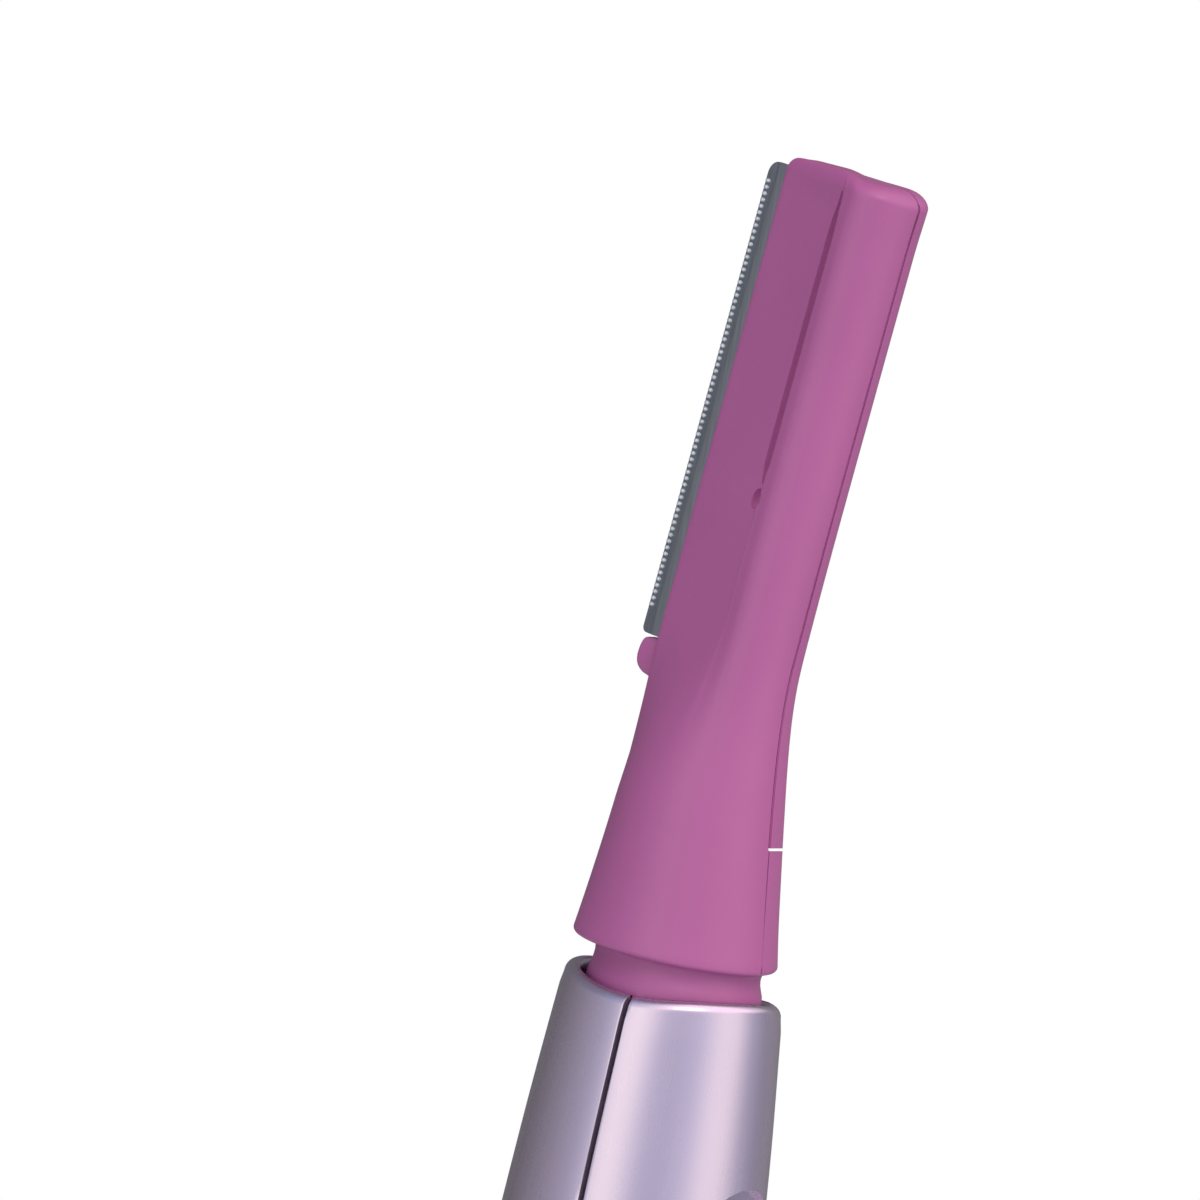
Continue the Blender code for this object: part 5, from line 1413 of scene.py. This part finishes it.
    def build(self, palette: Palette) -> None:
        """Make the guard and the carrier.

        Args:
            palette: The finishes.
        """
        # The second finish paints the tips' highlight; the third paints light on the land.
        finishes = [palette.blade, palette.tips, palette.land]
        piece("blade_guard", self.guard(), finishes, Body.HEAD, "fixed_blade")
        piece("nub_carrier", self.carrier(), [palette.head], Body.HEAD, "blade_carrier")


@dataclass
class PowerPack:
    """The AAA cell and the coil spring under it. The cell's ends are (radius, height) in millimetres."""

    cell_radius: float = 5.25 * MM
    cell_base: float = 9.5 * MM
    cell_length: float = 44.5 * MM
    tip_radius: float = 1.9 * MM
    tip_height: float = 0.8 * MM
    tip_round: float = 0.3 * MM
    edge: float = 0.4 * MM
    wrap_inset: float = 1.2 * MM
    metal_radius: float = 4.77 * MM
    low_end: Shape = ((0, 0), (2.6, 0), (2.8, 0.15), (4.4, 0.15), (4.6, 0))
    high_end: Shape = ((4.2, 0), (4.0, -0.2), (2.6, -0.2), (2.0, 0))
    spring_base: float = 7.6 * MM
    spring_gap: float = 0.15 * MM
    spring_radius: float = 3.0 * MM
    wire: float = 0.22 * MM
    wire_sides: int = 10
    turns: float = 2.5
    turn_steps: int = 24

    def cell(self) -> Mesh:
        """The cell: wrapped can, crimped ends and raised tip; bare metal has the second finish."""
        low, high = self.cell_base, self.cell_base + self.cell_length
        shoulder = high - self.tip_height
        r, e = self.cell_radius, self.edge
        profile = [(x * MM, low + z * MM) for x, z in self.low_end]
        profile += arc((r - e, low + e), e, -90, 0, 6)
        profile += [(r, z) for z in spread(low + self.wrap_inset, shoulder - self.wrap_inset, 6)]
        profile += arc((r - e, shoulder - e), e, 0, 90, 6)
        profile += [(x * MM, shoulder + z * MM) for x, z in self.high_end]
        tip = (self.tip_radius - self.tip_round, high - self.tip_round)
        profile += arc(tip, self.tip_round, 0, 90, 5) + [(0, high)]
        bm = spun(profile, ROUND)
        for face in bm.faces:
            centre = face.calc_center_median()
            if math.hypot(centre.x, centre.y) < self.metal_radius:
                face.material_index = 1
        return bm

    def spring(self) -> Mesh:
        """The coil, swept as a small circle along its helix."""
        low, high = self.spring_base + self.wire, self.cell_base - self.spring_gap - self.wire
        rings = []
        for i, z in enumerate(spread(low, high, int(self.turns * self.turn_steps) + 1)):
            t = 2 * math.pi * i / self.turn_steps
            ring = []
            for k in range(self.wire_sides):
                a = 2 * math.pi * k / self.wire_sides
                r = self.spring_radius + self.wire * math.cos(a)
                ring.append((r * math.cos(t), r * math.sin(t), z + self.wire * math.sin(a)))
            rings.append(ring)
        return ring_loft(rings, cap_low=True, cap_high=True)

    def build(self, palette: Palette) -> None:
        """Make the cell and the spring.

        Args:
            palette: The finishes.
        """
        piece("dry_cell", self.cell(), [palette.wrap, palette.bright], Body.HANDLE, "battery_cell")
        piece("cell_spring", self.spring(), [palette.bright], Body.HANDLE, "negative_spring")


def dress_nodes(palette: Palette) -> None:
    """Give the CAD nodes that stay their finishes.

    Args:
        palette: The finishes.
    """
    by_slot = {
        Slot.HEAD: palette.head, Slot.HANDLE: palette.handle, Slot.BLADE: palette.blade,
        Slot.BRIGHT: palette.bright, Slot.BRASS: palette.brass, Slot.RUBBER: palette.rubber,
        Slot.INNER: palette.inner, Slot.CELL: palette.wrap, Slot.BOARD: palette.board,
    }
    for row in frame["record"]["subparts"]:
        item = frame["nodes"][row["node"]]
        if item.hide_render:
            continue
        finish = by_slot[Slot(row["material_slot"])]
        if not item.material_slots:
            item.data.materials.append(finish)
        for holder in item.material_slots:
            holder.material = finish
        LOG.info("%s keeps its shape and gets %s", item.name, finish.name)


class Tint(Enum):
    """Tints of the light around the object."""

    PLAIN = (1.0, 1.0, 1.0)
    FAINT = (0.98, 0.97, 1.06)
    COOL = (0.92, 0.98, 1.14)
    BLUE = (0.85, 1.0, 1.40)
    WARM = (1.04, 0.99, 0.93)
    ROSE = (1.05, 1.02, 0.91)
    PINK = (1.08, 0.84, 0.85)


LightRing = tuple[tuple[float, float, Tint], ...]


@dataclass
class Studio:
    """Camera, light and floor. The camera leans, so that the upright object leans as photographed.

    The light rings are (degrees from the -Y side, strength, tint). The spans are heights of a direction.
    """

    azimuth: float = math.radians(33)
    elevation: float = math.radians(4.5)
    roll: float = math.radians(10)
    distance: float = 0.42
    frame_height: float = 0.0743
    aim_right: float = -8.66 * MM
    aim_up: float = 22.8 * MM
    sensor: float = 36.0
    clip: Span = (0.01, 20.0)
    level: LightRing = (
        (-180, 0.24, Tint.PLAIN), (-150, 0.16, Tint.PLAIN), (-105, 0.15, Tint.PLAIN), (-85, 0.21, Tint.PLAIN),
        (-66, 0.30, Tint.FAINT), (-48, 0.40, Tint.FAINT), (-33, 0.50, Tint.COOL), (-22, 0.62, Tint.COOL),
        (-8, 1.50, Tint.ROSE), (8, 1.36, Tint.ROSE), (17, 1.05, Tint.PLAIN), (28, 0.68, Tint.COOL),
        (46, 0.60, Tint.COOL), (66, 0.74, Tint.COOL), (80, 1.05, Tint.PLAIN), (90, 1.28, Tint.WARM),
        (108, 1.20, Tint.WARM), (118, 0.80, Tint.PLAIN), (128, 0.50, Tint.COOL), (151, 0.29, Tint.COOL),
        (180, 0.26, Tint.PLAIN),
    )
    high: LightRing = (
        (-180, 0.20, Tint.PLAIN), (-120, 0.14, Tint.PLAIN), (-60, 0.22, Tint.BLUE), (-30, 0.46, Tint.BLUE),
        (-5, 1.00, Tint.PLAIN), (20, 1.50, Tint.PINK), (60, 1.45, Tint.PINK), (95, 1.75, Tint.PINK),
        (130, 1.75, Tint.PINK), (155, 0.90, Tint.PLAIN), (180, 0.50, Tint.PLAIN),
    )
    high_span: Span = (0.28, 0.48)
    low_span: Span = (-0.55, -0.15)
    low_strength: Span = (0.55, 1.0)
    lamp_spot: Point = (0.35, -0.30, 0.55)
    lamp_size: float = 0.25
    lamp_power: float = 0.7
    floor_radius: float = 0.30
    floor_colour: Colour = (0.83, 0.88, 0.86, 1)
    floor_roughness: float = 0.9
    floor_fade: float = 0.45

    def camera(self) -> None:
        """Place the camera for the square picture."""
        a, e = self.azimuth, self.elevation
        right = Vector((math.cos(a), math.sin(a), 0))
        up = Vector((-math.sin(a) * math.sin(e), math.cos(a) * math.sin(e), math.cos(e)))
        back = right.cross(up)
        aim = Vector((0, 0, RIM_Z)) + right * self.aim_right + up * self.aim_up
        roll_right = right * math.cos(self.roll) + up * math.sin(self.roll)
        roll_up = up * math.cos(self.roll) - right * math.sin(self.roll)
        data = bpy.data.cameras.new("camera")
        data.sensor_width = self.sensor
        data.lens = self.sensor * self.distance / self.frame_height
        data.clip_start, data.clip_end = self.clip
        item = linked("camera", data)
        turn = Matrix((roll_right, roll_up, back)).transposed().to_4x4()
        item.matrix_world = Matrix.Translation(aim + back * self.distance) @ turn
        bpy.context.scene.camera = item

    def light_ring(self, nodes: Nodes, share: Socket, ring: LightRing) -> Socket:
        """A ramp of light around the object.

        Args:
            nodes: The tree.
            share: The direction, as a share of the full turn.
            ring: What the light is on the way round.

        Returns:
            The light's colour.
        """
        node = nodes.add("ShaderNodeValToRGB")
        elements = node.color_ramp.elements
        while len(elements) < len(ring):
            elements.new(0.5)
        for element, (angle, strength, tint) in zip(elements, ring):
            element.position = (angle + 180) / 360
            element.color = (*(strength * part for part in tint.value), 1)
        nodes.join(share, node.inputs["Fac"])
        return node.outputs["Color"]

    def world(self) -> None:
        """White background, and a ring of soft light and shade for everything else."""
        world = bpy.data.worlds.new("studio")
        world.use_nodes = True
        world.node_tree.nodes.clear()
        nodes = Nodes(world.node_tree)
        split = nodes.add("ShaderNodeSeparateXYZ")
        nodes.join(nodes.add("ShaderNodeTexCoord").outputs["Generated"], split.inputs["Vector"])
        x, y, z = split.outputs
        turn = nodes.maths("ARCTAN2", x, nodes.maths("MULTIPLY", y, -1.0))
        share = nodes.ranged(turn, (-math.pi, math.pi), (0.0, 1.0))
        blend = nodes.add("ShaderNodeMix")
        blend.data_type = "RGBA"
        nodes.join(nodes.ranged(z, self.high_span, (0.0, 1.0)), blend.inputs["Factor"])
        sockets = [socket for socket in blend.inputs if socket.type == "RGBA"]
        for ring, socket in zip((self.level, self.high), sockets):
            nodes.join(self.light_ring(nodes, share, ring), socket)
        lit = nodes.add("ShaderNodeBackground")
        nodes.join(nodes.ranged(z, self.low_span, self.low_strength), lit.inputs["Strength"])
        mixed = next(socket for socket in blend.outputs if socket.type == "RGBA")
        nodes.join(mixed, lit.inputs["Color"])
        white = nodes.add("ShaderNodeBackground", Color=(1, 1, 1, 1), Strength=1.0)
        seen = nodes.add("ShaderNodeLightPath").outputs["Is Camera Ray"]
        mix, out = nodes.add("ShaderNodeMixShader"), nodes.add("ShaderNodeOutputWorld")
        for source, target in zip((seen, lit.outputs[0], white.outputs[0]), mix.inputs):
            nodes.join(source, target)
        nodes.join(mix.outputs[0], out.inputs["Surface"])
        bpy.context.scene.world = world

    def lamp(self) -> None:
        """A square soft lamp that faces the head."""
        data = bpy.data.lights.new("key", "AREA")
        data.size, data.energy = self.lamp_size, self.lamp_power
        item = linked("key", data)
        turn = (Vector((0, 0, RIM_Z)) - Vector(self.lamp_spot)).to_track_quat("-Z", "Y")
        item.matrix_world = Matrix.Translation(self.lamp_spot) @ turn.to_matrix().to_4x4()

    def floor(self) -> None:
        """A pale round floor that fades out before the light ring is hidden."""
        bm = bmesh.new()
        bmesh.ops.create_circle(bm, cap_ends=True, segments=ROUND, radius=self.floor_radius)
        mesh = settled("floor", bm)
        graph = Graph("floor_pale")
        graph.set(Base_Color=self.floor_colour, Roughness=self.floor_roughness)
        reach = graph.add("ShaderNodeVectorMath")
        reach.operation = "LENGTH"
        graph.join(graph.place, reach.inputs[0])
        ends = (self.floor_radius * self.floor_fade, self.floor_radius)
        graph.join(graph.ranged(reach.outputs["Value"], ends, (1.0, 0.0)), graph.shader.inputs["Alpha"])
        mesh.materials.append(graph.material)
        linked("floor", mesh)

    def build(self) -> None:
        """Make the whole studio."""
        self.camera()
        self.world()
        self.floor()
        self.lamp()
        bpy.context.scene.view_settings.view_transform = "Standard"


def main() -> None:
    """Build every part of the trimmer in order, then the studio."""
    logging.basicConfig(level=logging.INFO, format="%(message)s")
    palette = Palette()
    handle = Handle()
    handle.build(palette)
    SlideSwitch().build(palette, handle)
    Head().build(palette)
    BladeUnit().build(palette)
    PowerPack().build(palette)
    dress_nodes(palette)
    Studio().build()


if __name__ == "__main__":
    main()
